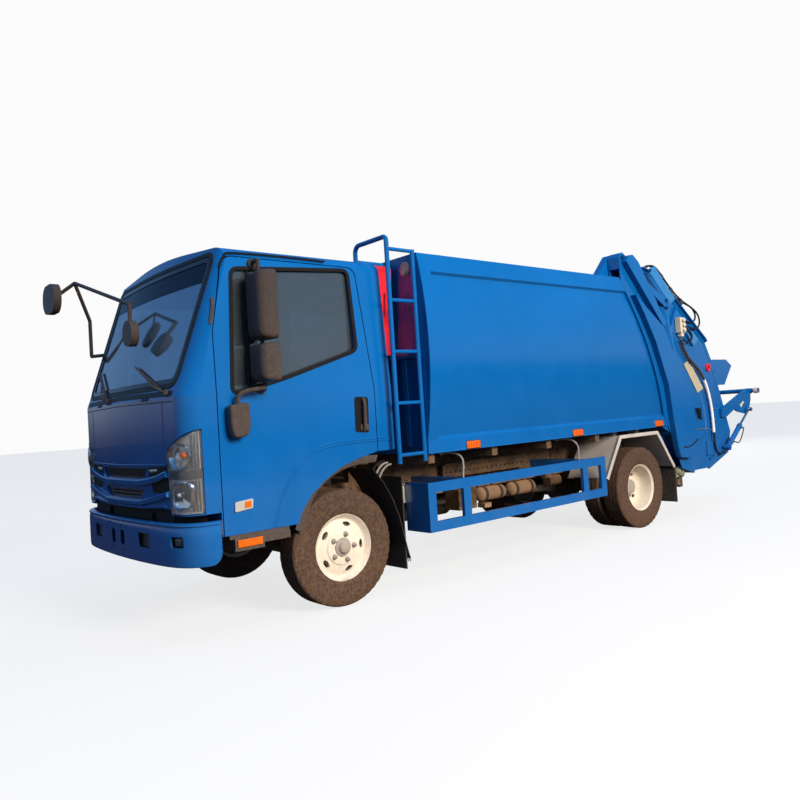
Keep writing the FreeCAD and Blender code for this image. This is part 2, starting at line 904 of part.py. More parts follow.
engine_block = box("engine_block", (-size.engine_half, along(size.engine_front), size.engine_low),
    (size.engine_half, along(size.engine_rear), size.engine_high))
radiator = box("radiator", (-size.radiator_half, along(size.radiator_front), size.rail_low),
    (size.radiator_half, along(size.radiator_front + size.radiator_deep), size.engine_high))
group("engine", engine_block, radiator)
shaft_z = size.rail_low - size.shaft_radius * 2
shaft_front = along(size.engine_rear + size.spring_gap)
shaft_rear = REAR_AXLE - size.axle_bowl - size.spring_gap
tube = rod("shaft_tube", (0, shaft_front + size.shaft_radius, shaft_z),
           (0, shaft_rear - size.shaft_radius, WHEEL_Z),
           size.shaft_radius)
yokes = [rod("shaft_yoke_front", (0, shaft_front, shaft_z),
             (0, shaft_front + size.shaft_radius * 2, shaft_z),
             size.shaft_radius * shaft_joint_share),
         rod("shaft_yoke_rear", (0, shaft_rear - size.shaft_radius * 2, WHEEL_Z),
             (0, shaft_rear, WHEEL_Z),
             size.shaft_radius * shaft_joint_share)]
fuse("driveshaft", tube, *yokes)

tank_x = -(size.rail_x + size.rail_width + size.spring_gap)
box("fuel_tank", (tank_x - size.tank_wide, along(size.tank_front), size.tank_low),
    (tank_x, along(size.tank_front + size.tank_long), size.tank_low + size.tank_tall))
battery_front = size.tank_front + size.tank_long + size.battery_gap
box("battery_box", (tank_x - size.tank_wide, along(battery_front), size.tank_low),
    (tank_x, along(battery_front + size.battery_long), size.tank_low + size.tank_tall))

# Front bumper

def bumper_outline(inset, rear):
    """The bumper seen from above, with rounded front corners, set in by a wall."""
    x = size.bumper_half - inset
    y = along(size.bumper_face) + inset
    chamfer = size.bumper_corner
    return [(-x, rear), (-x, y + chamfer, chamfer / 4), (-x + chamfer, y + chamfer / 6, chamfer / 2),
            (0, y), (x - chamfer, y + chamfer / 6, chamfer / 2), (x, y + chamfer, chamfer / 4),
            (x, rear)]


bumper_outer = slab("bumper_outer", "XY", bumper_outline(0 * size.bumper_skin, along(size.bumper_rear)),
                    size.bumper_low, size.bumper_high)
bumper_inner = slab("bumper_inner", "XY",
                    bumper_outline(size.bumper_skin, along(size.bumper_rear) + size.overrun),
                    size.bumper_low - size.overrun, size.bumper_high - size.bumper_skin)
bumper_core = slab("bumper_core", "XY",
                   bumper_outline(size.bumper_skin * bumper_core_share,
                                  along(size.bumper_rear) + size.overrun),
                   size.bumper_low - size.overrun, size.bumper_high + size.overrun)
bumper_front = along(size.bumper_face - size.overrun)
bumper_back = along(size.bumper_rear)
fog_seat = slab("fog_seat", "XZ",
                rounded(size.fog_x, size.fog_z, size.fog_wide, size.fog_tall, size.hole_round),
                bumper_front, bumper_back)
tow_recess = slab("tow_recess", "XZ",
                  rounded(size.tow_x, size.tow_z, size.tow_wide, size.tow_tall, size.hole_round),
                  bumper_front, along(size.bumper_face) + size.bumper_skin * 2)
slit = slab("bumper_slit", "XZ",
            rounded(size.slit_x, size.slit_z, size.slit_wide, size.slit_tall, size.hole_round),
            bumper_front, along(size.bumper_face) + size.bumper_skin * 2)
left_cuts = group("bumper_cuts_left", fog_seat, tow_recess, slit)
bumper_shell = cut("bumper_shell", bumper_outer, bumper_inner, bumper_core, left_cuts,
                   mirrored("bumper_cuts_right", left_cuts))
bumper_stay = box("bumper_stay", (size.rail_x, along(size.rail_front) - size.tow_reach, size.rail_low),
                  (size.rail_x + size.rail_width, along(size.rail_front),
                   size.rail_high - size.rail_width))
tow_boss = rod("tow_boss", (size.tow_x, along(size.rail_front) - size.tow_reach, size.tow_z),
               (size.tow_x, along(size.rail_front), size.tow_z), size.tow_radius + size.tow_wall)
tow_bore = rod("tow_bore", (size.tow_x, bumper_front, size.tow_z),
               (size.tow_x, along(size.rail_front) + size.overrun, size.tow_z), size.tow_radius)
stay_left = cut("bumper_stay_left", fuse("bumper_stay_boss", bumper_stay, tow_boss), tow_bore)
fuse("front_bumper", bumper_shell, stay_left, mirrored("bumper_stay_right", stay_left))
fog_face = slab("fog_face", "XY", bumper_outline(size.fog_set, bumper_back), size.bumper_low,
                size.bumper_high)
fog_back = slab("fog_back", "XY",
                bumper_outline(size.fog_set + size.fog_deep, bumper_back + size.overrun),
                size.bumper_low - size.overrun, size.bumper_high + size.overrun)
fog_block = slab("fog_block", "XZ",
                 rounded(size.fog_x, size.fog_z, size.fog_wide - size.spring_gap,
                         size.fog_tall - size.spring_gap,
                         size.hole_round), bumper_front, bumper_back)
both_sides("fog_lamps", common("fog_lamp", cut("fog_sheet", fog_face, fog_back), fog_block))

# Side guards, fenders, flaps and markers

def guard():
    """The left side guard: two rails, two posts and a wrapped front end."""
    x1 = size.body_half
    x0 = x1 - size.guard_deep
    front, rear = along(size.guard_front), along(size.guard_rear)
    bar = size.guard_bar
    window_low = size.guard_low + bar
    window_high = size.guard_high - bar
    span = size.guard_rear - size.guard_front
    post_shares = (0.18, 0.86)
    edges = [front + bar, *[front + span * share for share in post_shares], rear - bar]
    panes = []
    for index in range(len(edges) - 1):
        low = edges[index] + (bar / 2 if index else 0)
        high = edges[index + 1] - (bar / 2 if index < len(post_shares) else 0)
        panes.append([(low, window_low), (high, window_low), (high, window_high), (low, window_high)])
    outline = [(front, size.guard_low), (rear, size.guard_low), (rear, size.guard_high),
               (front, size.guard_high)]
    face = slab("guard_face", "YZ", outline, x0, x1, holes=panes)
    wrap = box("guard_wrap_plate", (x1 - size.guard_wrap, front, size.guard_low),
               (x0, front + size.guard_deep, size.guard_high))
    stays = [box(f"guard_stay_{index}", (size.rail_x + size.rail_width, front + span * share - bar / 2,
                                         window_high),
                 (x0, front + span * share + bar / 2, size.guard_high))
             for index, share in enumerate(post_shares)]
    return fuse("guard_left", face, wrap, *stays)


both_sides("side_guards", guard())

skin = size.fender_skin
fender_outline = [((REAR_AXLE - size.fender_ahead), size.fender_low),
                  ((REAR_AXLE - size.fender_rise), size.fender_top),
                  ((REAR_AXLE + size.fender_fall), size.fender_top),
                  ((REAR_AXLE + size.fender_behind), size.fender_low),
                  ((REAR_AXLE + size.fender_behind) - skin * 2, size.fender_low),
                  ((REAR_AXLE + size.fender_fall) - skin, size.fender_top - skin * 2),
                  ((REAR_AXLE - size.fender_rise) + skin, size.fender_top - skin * 2),
                  ((REAR_AXLE - size.fender_ahead) + skin * 2, size.fender_low)]
fender = slab("fender_left", "YZ", fender_outline,
              size.body_half - size.fender_wide - size.fender_wide / 2,
              size.body_half)
stay_shares = (0.2, 0.8)
fender_stays = [box(f"fender_stay_{index}",
                    (size.body_half - size.fender_wide, spot - size.bearer_deep / 2,
                     size.fender_top - skin),
                    (size.body_half - size.fender_wide / 2, spot + size.bearer_deep / 2,
                     size.body_low - size.spring_gap))
                for index, spot in enumerate([REAR_AXLE - size.fender_rise +
                                              (size.fender_fall + size.fender_rise) * share
                                              for share in stay_shares])]
both_sides("rear_fenders", fuse("fender_hung", fender, *fender_stays))

flap_rear = box("flap_rear",
                (size.body_half - size.flap_wide, (REAR_AXLE + size.fender_behind) + size.spring_gap,
                 size.flap_low),
                (size.body_half, (REAR_AXLE + size.fender_behind) + size.spring_gap + size.flap_thick,
                 size.flap_top))
flap_front = box("flap_front",
                 (size.rail_x + size.rail_width + size.bearer_deep, along(size.flap_front_y),
                  size.flap_front_low),
                 (size.cab_half - size.bearer_deep / 2, along(size.flap_front_y) + size.flap_thick,
                  size.flap_front_top))
flap_stay = box("flap_stay", (size.rail_x + size.rail_width + size.spring_gap, along(size.flap_front_y),
                              size.rail_high - size.bearer_deep),
                (size.flap_wide * flap_outer_share, along(size.flap_front_y) + size.flap_thick,
                 size.rail_high))
both_sides("mud_flaps", group("flaps_left", flap_rear, fuse("flap_hung", flap_front, flap_stay)))

marker_shares = (0.14, 0.54, 0.945)
marker_span = size.body_rear_low - size.body_front
side_marks = [box(f"marker_{index}",
                  (size.body_half + size.spring_gap,
                   along(size.body_front + marker_span * share) - size.marker_long / 2,
                   size.marker_low),
                  (size.body_half + size.marker_proud,
                   along(size.body_front + marker_span * share) + size.marker_long / 2,
                   size.marker_low + size.marker_tall))
              for index, share in enumerate(marker_shares)]
both_sides("side_markers", group("markers_left", *side_marks))

# Subframe and load body

sub_low = size.rail_high
sub_high = size.rail_high + size.subframe_tall
sub_left = rail("sub_left", sub_low, sub_high, along(size.body_front), along(size.body_rear_low))
sub_crosses = cross_members("bearer", [along(size.body_front + size.bearer_deep
                                             + (size.body_rear_low - size.body_front -
                                                size.bearer_deep * 2) * share)
                                       for share in (0, 0.25, 0.5, 0.75, 1)],
                            sub_low, sub_high, size.bearer_deep)
bearers = [box(f"outrigger_{index}",
               (-size.body_half + size.body_wall,
                along(size.body_front + size.bearer_deep +
                      (size.wheelbase - size.fender_ahead - size.body_front -
                       size.bearer_deep * 2) * share) - size.bearer_deep / 2,
                sub_high),
               (size.body_half - size.body_wall,
                along(size.body_front + size.bearer_deep +
                      (size.wheelbase - size.fender_ahead - size.body_front -
                       size.bearer_deep * 2) * share) + size.bearer_deep / 2,
                size.body_low))
           for index, share in enumerate((0, 0.33, 0.66, 1))]
fuse("subframe", sub_left, mirrored("sub_right", sub_left), *sub_crosses, *bearers)


def body_side(inset):
    """The load body from the side, its rear edge leaning with the tailgate."""
    return [(along(size.body_front) + inset, size.body_low + inset),
            (along(size.body_rear_low), size.body_low + inset),
            (along(size.body_rear_top), size.body_high - inset),
            (along(size.body_front) + inset, size.body_high - inset)]


def body_face(inset):
    """The load body from the front, its sides bowed above the lower strip."""
    x = size.body_half - inset
    middle = (size.body_strip_low + size.body_high) / 2
    top = size.body_high + size.overrun
    low = size.body_low - size.overrun
    return [(-x, low), (x, low), (x, size.body_strip_low), (x + size.body_bow, middle, size.body_round),
            (x, size.body_high), (x, top), (-x, top), (-x, size.body_high),
            (-x - size.body_bow, middle, size.body_round), (-x, size.body_strip_low)]


def body_form(name, side_outline, inset):
    """A side outline of the load body within its bowed sides."""
    wide = size.body_half + size.body_bow
    side_form = slab(f"{name}_side", "YZ", side_outline, -wide, wide)
    face_form = slab(f"{name}_face", "XZ", body_face(inset), along(size.body_front) - size.overrun,
                     along(size.body_rear_low) + size.overrun * 2)
    return common(name, side_form, face_form)


body_outer = body_form("body_outer", body_side(0 * size.body_wall), 0 * size.body_wall)
inner_side = body_side(size.body_wall)
inner_side[1] = (inner_side[1][0] + size.overrun, inner_side[1][1])
inner_side[2] = (inner_side[2][0] + size.overrun, inner_side[2][1])
body_inner = body_form("body_inner", inner_side, size.body_wall)


def body_rear(z):
    """Where the load body's leaning rear edge is at a height."""
    lean = (size.body_rear_low - size.body_rear_top) / (size.body_high - size.body_low)
    return along(size.body_rear_low) - lean * (z - size.body_low)


panel_front = along(size.body_front + size.frame_lap * panel_lap_share)
panel_outline = [(panel_front, size.body_strip_low),
                 (body_rear(size.body_strip_low) - size.panel_edge, size.body_strip_low),
                 (body_rear(size.body_band_high) - size.panel_edge, size.body_band_high),
                 (panel_front, size.body_band_high)]
panel_wide = size.body_half + size.body_bow
panel_prism = slab("panel_prism", "YZ", panel_outline, size.body_half - size.body_wall, panel_wide)
panel_floor = slab("panel_floor", "XZ",
                   [(0 * panel_wide, size.body_low), (panel_wide + size.overrun, size.body_low),
                    (panel_wide + size.overrun, size.body_strip_low - size.overrun),
                    (size.body_half, size.body_strip_low),
                    (size.panel_low_half, size.body_strip_high),
                    (size.panel_bow_half, (size.body_strip_high + size.body_band_low) / 2,
                     size.panel_round),
                    (size.panel_high_half, size.body_band_low),
                    (size.panel_high_half + size.body_band_high - size.body_band_low,
                     size.body_band_high),
                    (panel_wide + size.overrun, size.body_high), (0 * panel_wide, size.body_high)],
                   along(size.body_front), along(size.body_rear_low))
panel_cut = cut("panel_cut", panel_prism, panel_floor)
lug_outline = [(along(size.body_rear_top - size.frame_lap * 3), size.body_high - size.body_wall),
               (along(size.body_rear_top), size.body_high - size.body_wall),
               (along(size.hinge_y) + size.hinge_radius * 2, size.hinge_z, size.hinge_radius),
               (along(size.hinge_y), size.hinge_z + size.hinge_radius * 2, size.hinge_radius),
               (along(size.hinge_y) - size.hinge_radius * 2, size.hinge_z, size.hinge_radius)]
lug_inner = slab("lug_plate", "YZ", lug_outline, COLUMN_INNER - size.body_wall * 2,
                 COLUMN_INNER - size.gate_gap,
                 circles=[(along(size.hinge_y), size.hinge_z, size.hinge_radius + size.spring_gap)])
ear = size.gate_bore * ear_share
ear_outline = [(along(size.body_rear_low) - ear * 2, size.body_low),
               (along(size.body_rear_low) - size.gate_gap * 2, size.body_low + size.body_wall / 2),
               (along(size.gate_foot_y) + ear, size.gate_foot_z + ear, ear / 2),
               (along(size.gate_foot_y) + ear, size.gate_foot_z - ear, ear / 2)]
ears_left = [slab(f"lift_ear_{index}", "YZ", ear_outline, x, x + size.column_plate)
             for index, x in enumerate((COLUMN_MIDDLE - size.gate_bore * ear_gap_share -
                                        size.glass_gap - size.column_plate,
                                        COLUMN_MIDDLE + size.gate_bore * ear_gap_share +
                                        size.glass_gap))]
ears_left.append(rod("lift_foot_pin",
                     (COLUMN_MIDDLE - size.gate_bore * ear_gap_share - size.column_plate / 2,
                      along(size.gate_foot_y), size.gate_foot_z),
                     (COLUMN_MIDDLE + size.gate_bore * ear_gap_share + size.column_plate / 2,
                      along(size.gate_foot_y), size.gate_foot_z),
                     size.pin_radius))
ears_right = [mirrored(f"{piece.Name}_right", piece) for piece in ears_left]
fuse("body_shell", *ears_left, *ears_right,
     cut("body_hollow", body_outer, body_inner, panel_cut, mirrored("panel_cut_right", panel_cut)),
     lug_inner, mirrored("lug_right", lug_inner))

# Ladder and red tank between cab and body

ladder_rear = along(size.body_front) - size.ladder_radius - size.spring_gap
ladder_front = along(size.ladder_front)
ladder_rails = [rod(f"ladder_rail_{index}", (size.ladder_x, spot, size.ladder_low),
                    (size.ladder_x, spot, size.ladder_high), size.ladder_radius)
                for index, spot in enumerate((ladder_front, ladder_rear))]
rungs = [rod(f"ladder_rung_{index}",
             (size.ladder_x, ladder_front, size.rung_low + size.rung_step * index),
             (size.ladder_x, ladder_rear, size.rung_low + size.rung_step * index),
             size.ladder_radius * rung_share)
         for index in range(5)]


def pipe(name, places, radius):
    """A bent tube through some places, each bend an arc."""
    points = [Vector(*[number(value) for value in place]) for place in places]
    edges = []
    last = points[0]
    for index in range(1, len(points) - 1):
        spot = points[index]
        before = points[index - 1] - spot
        after = points[index + 1] - spot
        reach = bend_share * min(before.Length, after.Length)
        first = spot + before.normalize() * reach
        second = spot + after.normalize() * reach
        half = before.getAngle(after) / 2
        bulge = reach * math.tan(half)
        centre = spot + (before + after).normalize() * (reach / math.cos(half))
        middle = centre + (spot - centre).normalize() * bulge
        edges.append(Part.LineSegment(last, first).toShape())
        edges.append(Part.Arc(first, middle, second).toShape())
        last = second
    edges.append(Part.LineSegment(last, points[-1]).toShape())
    path = Part.Wire(edges)
    start = points[0]
    ring = Part.Wire(Part.Circle(start, points[1] - start, number(radius)).toShape())
    piece = document.addObject("Part::Feature", name)
    piece.Shape = path.makePipeShell([ring], True, False)
    return piece


handrail = pipe("ladder_loop", [(size.ladder_x, ladder_front, size.ladder_high),
                                (size.ladder_x, ladder_front, size.loop_z),
                                (size.loop_x, ladder_front, size.loop_z),
                                (size.loop_x, ladder_front, size.red_high + size.ladder_radius * 2)],
                size.ladder_radius)
foot_bar = rod("loop_foot", (size.loop_x, ladder_front, size.red_high + size.ladder_radius * 2),
               (size.loop_x, along(size.body_front), size.red_high + size.ladder_radius * 2),
               size.ladder_radius)
fuse("ladder", *ladder_rails, *rungs, handrail, foot_bar)
red_rear = along(size.body_front) - size.tank_gap
red_outline = [(size.red_right, size.red_low), (size.red_left - size.red_taper, size.red_low),
               (size.red_left, size.red_high, size.ladder_radius * 2),
               (size.red_right, size.red_high, size.ladder_radius * 2)]
red_body = slab("red_body", "XZ", red_outline, red_rear - size.red_deep, red_rear)
red_shares = (0.25, 0.75)
red_stays = [box(f"red_stay_{index}",
                 (size.red_right + (size.red_left - size.red_right) * share - size.bearer_deep / 2,
                  red_rear - size.spring_gap, size.red_high - size.bearer_deep * 3),
                 (size.red_right + (size.red_left - size.red_right) * share + size.bearer_deep / 2,
                  along(size.body_front) - size.spring_gap, size.red_high - size.bearer_deep * 2))
             for index, share in enumerate(red_shares)]
fuse("red_tank", red_body, *red_stays)

# Tailgate

gate_lean = (size.body_rear_low - size.body_rear_top) / (size.body_high - size.body_low)


def gate_front(z):
    """Where the tailgate's front face is at a height."""
    return along(size.body_rear_low + size.gate_gap) - gate_lean * (z - size.body_low)


GATE_SHARE = {
    # Places behind the hinge and above the hopper floor, as shares of tailgate length and height
    "column": [(0.126, 0.945), (0.296, 0.69), (0.331, 0.62), (0.528, 0.16), (0.475, 0.0)],
    "bay": [(0.118, 0.925), (0.262, 0.69), (0.297, 0.61), (0.495, 0.16)],
    "shell": [(0.222, 0.97), (0.33, 0.952), (0.52, 0.818), (0.754, 0.646), (0.815, 0.542),
              (0.96, 0.165), (0.932, 0.066), (0.726, 0.0)],
}
gate_long = size.bin_pivot_y - size.hinge_y + size.bin_tube_radius * 8
gate_tall = size.hinge_z - size.gate_floor


def gate_point(share):
    """A place on the tailgate from its shares."""
    return (along(size.hinge_y) + gate_long * share[0], size.gate_floor + gate_tall * share[1])


column_front = [(gate_front(size.gate_floor + size.guard_bar), size.gate_floor + size.guard_bar),
                (gate_front(size.body_high - size.body_wall), size.body_high - size.body_wall),
                (along(size.hinge_y) - size.hinge_radius * 2, size.hinge_z, size.hinge_radius),
                (along(size.hinge_y), size.hinge_z + size.hinge_radius * 2, size.hinge_radius)]
column_rear = [gate_point(s) for s in GATE_SHARE["column"]]
column_outer = slab("gate_column_block", "YZ", column_front + column_rear,
                    COLUMN_INNER, size.body_half)
bay = size.column_plate * 2
bay_top = size.hinge_z - size.hinge_radius * bay_top_share
bay_outline = [(gate_front(size.gate_floor) - size.overrun, size.gate_floor + size.guard_bar + bay),
               (gate_front(bay_top) - size.overrun, bay_top),
               *[gate_point(share) for share in GATE_SHARE["bay"]],
               (column_rear[-1][0] - bay * 4, size.gate_floor + size.guard_bar + bay)]
column_bay = slab("gate_column_bay", "YZ", bay_outline, COLUMN_INNER + size.column_plate,
                  size.body_half - size.column_plate)


def down_slide(y, z, way):
    """A place moved down the slide by a distance."""
    angle = size.slide_angle
    return (along(y) + sine(angle) * way, z - cosine(angle) * way)


def slide_strip(name, start, end, half, x0, x1):
    """A strip along the slide, from one distance down it to another."""
    angle = size.slide_angle
    across = (cosine(angle) * half, sine(angle) * half)
    top = down_slide(size.slide_y, size.slide_z, start)
    low = down_slide(size.slide_y, size.slide_z, end)
    outline = [(top[0] - across[0], top[1] - across[1]), (low[0] - across[0], low[1] - across[1]),
               (low[0] + across[0], low[1] + across[1]), (top[0] + across[0], top[1] + across[1])]
    return slab(name, "YZ", outline, x0, x1)


slot_from = size.slot_way
pocket_top = down_slide(size.slide_y, size.slide_z, 0 * slot_from)
pocket_low = down_slide(size.slide_y, size.slide_z, slot_from + size.slide_travel + size.blade_pin * 3)
pocket_half = size.slide_bore + size.gate_gap
pocket = slab("slide_pocket", "YZ",
              [(pocket_top[0] - pocket_half, pocket_top[1]),
               (pocket_low[0] - pocket_half, pocket_low[1]),
               (pocket_low[0] + pocket_half * 4, pocket_low[1]),
               (pocket_top[0] + pocket_half * 4, pocket_top[1])],
              COLUMN_INNER + size.column_plate, size.body_half + size.overrun)
slot = slide_strip("slide_slot", slot_from - size.blade_pin * 2,
                   slot_from + size.slide_travel + size.blade_pin * 2, size.blade_pin + size.gate_gap,
                   COLUMN_INNER - size.shell_wall * 2, COLUMN_INNER + size.overrun)
barrel_top = size.slide_bore / 2
link_eye = down_slide(size.slide_y, size.slide_z, barrel_top + size.slide_bore)
link_long = distance((0 * size.link_y, along(size.link_y), size.link_z), (0 * size.link_y, *link_eye))
link_way = ((link_eye[0] - along(size.link_y)) / link_long, (link_eye[1] - size.link_z) / link_long)
link_across = (link_way[1] * size.link_width, -link_way[0] * size.link_width)
link_end = (link_eye[0] + link_way[0] * size.link_width, link_eye[1] + link_way[1] * size.link_width)
link_outline = [(along(size.link_y) - link_across[0], size.link_z - link_across[1]),
                (along(size.link_y) + link_across[0], size.link_z + link_across[1]),
                (link_end[0] + link_across[0], link_end[1] + link_across[1],
                 size.link_width * link_end_share),
                (link_end[0] - link_across[0], link_end[1] - link_across[1],
                 size.link_width * link_end_share)]
links = [slab(f"slide_link_{index}", "YZ", link_outline, x, x + size.shell_wall,
              circles=[(*link_eye, size.slide_rod + size.spring_gap)])
         for index, x in enumerate((COLUMN_INNER, size.body_half - size.shell_wall))]
column = fuse("gate_column", cut("gate_column_open", column_outer, column_bay, pocket, slot), *links)
shell_front = [(gate_front(size.gate_floor), size.gate_floor),
               (gate_front(size.body_high - size.body_wall * 2), size.body_high - size.body_wall * 2)]
shell_outer = slab("gate_shell_outer", "YZ",
                   shell_front + [gate_point(s) for s in GATE_SHARE["shell"]],
                   -COLUMN_INNER, COLUMN_INNER)
wall = size.shell_wall
sill = size.body_low + size.body_wall
shell_inner_outline = [(gate_front(size.gate_floor + wall) + wall, size.gate_floor + wall),
                       (gate_front(sill) + wall, sill), (gate_front(sill) - size.overrun, sill),
                       (gate_front(size.body_high - size.body_wall * 2) - size.overrun,
                        size.body_high - size.body_wall * 2 - wall)]
for index, share in enumerate(GATE_SHARE["shell"]):
    u, v = gate_point(share)
    shell_inner_outline.append((u - wall, v + wall if index > 5 else v - wall))
shell_inner = slab("gate_shell_inner", "YZ", shell_inner_outline,
                   -COLUMN_INNER + wall, COLUMN_INNER - wall)


mouth = box("gate_mouth",
            (-COLUMN_INNER + wall, along(size.bin_pivot_y) - size.flap_wide / 2,
             size.bin_pivot_z + size.guard_bar),
            (COLUMN_INNER - wall, along(size.bin_pivot_y) + size.flap_wide,
             size.bin_pivot_z + size.flap_wide + size.guard_bar))
rim_outline = [(along(size.rim_front), size.rim_top), (along(size.rim_knee), size.rim_top),
               (along(size.rim_rear), size.rim_rear_z), (along(size.rim_foot), size.rim_low),
               (along(size.rim_root), size.rim_low)]
rim_cheek = slab("rim_cheek", "YZ", rim_outline, COLUMN_INNER - wall, COLUMN_INNER)
rim_beam = slab("rim_beam", "YZ",
                [(along(size.rim_knee) - size.rim_beam * rim_top_share, size.rim_top),
                 (along(size.rim_knee), size.rim_top),
                 (along(size.rim_rear), size.rim_rear_z),
                 (along(size.rim_rear) - size.rim_beam / 2,
                  size.rim_rear_z - size.rim_beam * rim_foot_share),
                 (along(size.rim_knee) - size.rim_beam, size.rim_top - size.rim_beam)],
                -COLUMN_INNER + wall, COLUMN_INNER - wall)
pin = rod("hinge_pin", (COLUMN_INNER - size.body_wall * 2, along(size.hinge_y), size.hinge_z),
          (size.body_half, along(size.hinge_y), size.hinge_z), size.hinge_radius)
foot_pin = rod("bin_foot_pin", (COLUMN_INNER - wall, along(size.bin_foot_y), size.bin_foot_z),
               (COLUMN_MIDDLE + size.bin_bore * lug_outer_share, along(size.bin_foot_y),
                size.bin_foot_z), size.pin_radius * small_pin_share)
bin_pin = rod("bin_pin", (COLUMN_INNER - wall, along(size.bin_pivot_y), size.bin_pivot_z),
              (COLUMN_MIDDLE - size.bin_bore * lug_inner_share, along(size.bin_pivot_y),
               size.bin_pivot_z), size.pin_radius)
fuse("tailgate",
     cut("gate_hollow", shell_outer, shell_inner, mouth, slot, mirrored("slide_slot_right", slot)),
     column,
     mirrored("gate_column_right", column), pin, mirrored("hinge_pin_right", pin), foot_pin,
     mirrored("bin_foot_pin_right", foot_pin), bin_pin,
     mirrored("bin_pin_right", bin_pin), rim_cheek, mirrored("rim_cheek_right", rim_cheek), rim_beam)

# Packing mechanism: a carriage on the slide, its blade, and the slide cylinders outside
carriage_plate = slide_strip("carriage_plate", 0 * size.carriage_long, size.carriage_long,
                             size.carriage_thick / 2,
                             -CARRIAGE_HALF, CARRIAGE_HALF)
horn = down_slide(size.slide_y, size.slide_z, slot_from)
carriage_pins = [rod(f"carriage_pin_{side}",
                     ((CARRIAGE_HALF - size.body_wall) * side, horn[0], horn[1]),
                     ((COLUMN_MIDDLE + size.slide_rod / 2) * side, horn[0], horn[1]), size.blade_pin)
                 for side in (1, -1)]
blade_axis = down_slide(size.slide_y, size.slide_z, size.carriage_long + size.blade_pin * 2)
ears = [slide_strip(f"carriage_ear_{index}", size.carriage_long, slot_from + size.blade_pin * 2,
                    size.carriage_thick / 2, x, x + size.body_wall)
        for index, x in enumerate((-CARRIAGE_HALF, CARRIAGE_HALF - size.body_wall))]
blade_hole = rod("carriage_hole", (-CARRIAGE_HALF - size.overrun, *blade_axis),
                 (CARRIAGE_HALF + size.overrun, *blade_axis), size.blade_pin + size.spring_gap)
rod_top = slot_from - size.slide_travel * rod_reach_share


def slide_point(way, x):
    """A place on the slide cylinder's axis, which runs beside the carriage's pin."""
    y, z = down_slide(size.slide_y, size.slide_z, way)
    return (x, y, z)


slide_rods = [rod(f"slide_rod_{side}", slide_point(rod_top, COLUMN_MIDDLE * side),
                  slide_point(slot_from, COLUMN_MIDDLE * side), size.slide_rod)
              for side in (1, -1)]
fuse("carriage", cut("carriage_body", fuse("carriage_frame", carriage_plate, *ears), blade_hole),
     *carriage_pins, *slide_rods)
barrel_bodies = []
for side in (1, -1):
    barrel = rod(f"slide_barrel_{side}", slide_point(barrel_top, COLUMN_MIDDLE * side),
                 slide_point(slot_from - size.blade_pin * 3, COLUMN_MIDDLE * side), size.slide_bore)
    bore = rod(f"slide_bore_{side}", slide_point(barrel_top + size.slide_rod, COLUMN_MIDDLE * side),
               slide_point(slot_from, COLUMN_MIDDLE * side), size.slide_rod + size.spring_gap)
    mid = slide_point(barrel_top + size.slide_bore, COLUMN_MIDDLE * side)
    reach = (size.body_half - COLUMN_INNER) / 2 - size.column_plate / 2
    trunnion = rod(f"slide_trunnion_{side}", (mid[0] - reach, mid[1], mid[2]),
                   (mid[0] + reach, mid[1], mid[2]),
                   size.slide_rod)
    barrel_bodies.append(cut(f"slide_cylinder_{side}", fuse(f"slide_tube_{side}", barrel, trunnion),
                             bore))
group("slide_barrels", *barrel_bodies)

swing = size.blade_long
blade_outline = [(blade_axis[0] + size.blade_pin, blade_axis[1] - size.blade_pin),
                 *[(blade_axis[0] + size.blade_thick * across, blade_axis[1] - swing * down)
                   for across, down in blade_shares],
                 (blade_axis[0] - size.blade_thick * blade_back_share,
                  blade_axis[1] - size.blade_pin * 2),
                 (blade_axis[0] - size.blade_pin, blade_axis[1] - size.blade_pin)]
blade_half = CARRIAGE_HALF - size.body_wall - size.gate_gap
blade_plate = slab("blade_plate", "YZ", blade_outline, -blade_half, blade_half)
blade_boss = rod("blade_boss", (-blade_half, *blade_axis), (blade_half, *blade_axis),
                 size.blade_pin * 2 - size.glass_gap)
blade_pins = rod("blade_pins", (-CARRIAGE_HALF, *blade_axis), (CARRIAGE_HALF, *blade_axis),
                 size.blade_pin)
fuse("packer_blade", blade_plate, blade_boss, blade_pins)


def cylinder_pair(name, foot, eye, x, bore, stem, eye_x, foot_pin):
    """Left and right cylinders between two places in side view: barrels and rods."""
    way = distance((0 * x, *foot), (0 * x, *eye))
    unit = ((eye[0] - foot[0]) / way, (eye[1] - foot[1]) / way)

    def spot(length):
        return (x, foot[0] + unit[0] * length, foot[1] + unit[1] * length)

    barrel = rod(f"{name}_barrel", spot(0 * way), spot(way * barrel_share), bore)
    foot_eye = rod(f"{name}_foot", (x - bore * foot_half_share, *foot),
                   (x + bore * foot_half_share, *foot), bore * foot_eye_share)
    hollow = rod(f"{name}_bore", spot(bore * 2), spot(way), stem + size.glass_gap)
    pin_hole = rod(f"{name}_pin_hole", (x - bore * foot_hole_share, *foot),
                   (x + bore * foot_hole_share, *foot), foot_pin + size.spring_gap)
    left_barrel = cut(f"{name}_shell", fuse(f"{name}_tube", barrel, foot_eye), hollow, pin_hole)
    stem_rod = rod(f"{name}_stem", spot(bore * stem_from_share), spot(way), stem)
    rod_eye = rod(f"{name}_eye", (eye_x, *eye), (x + bore, *eye), stem * rod_eye_share)
    both_sides(f"{name}_barrels", left_barrel)
    both_sides(f"{name}_rods", fuse(f"{name}_plunger", stem_rod, rod_eye))


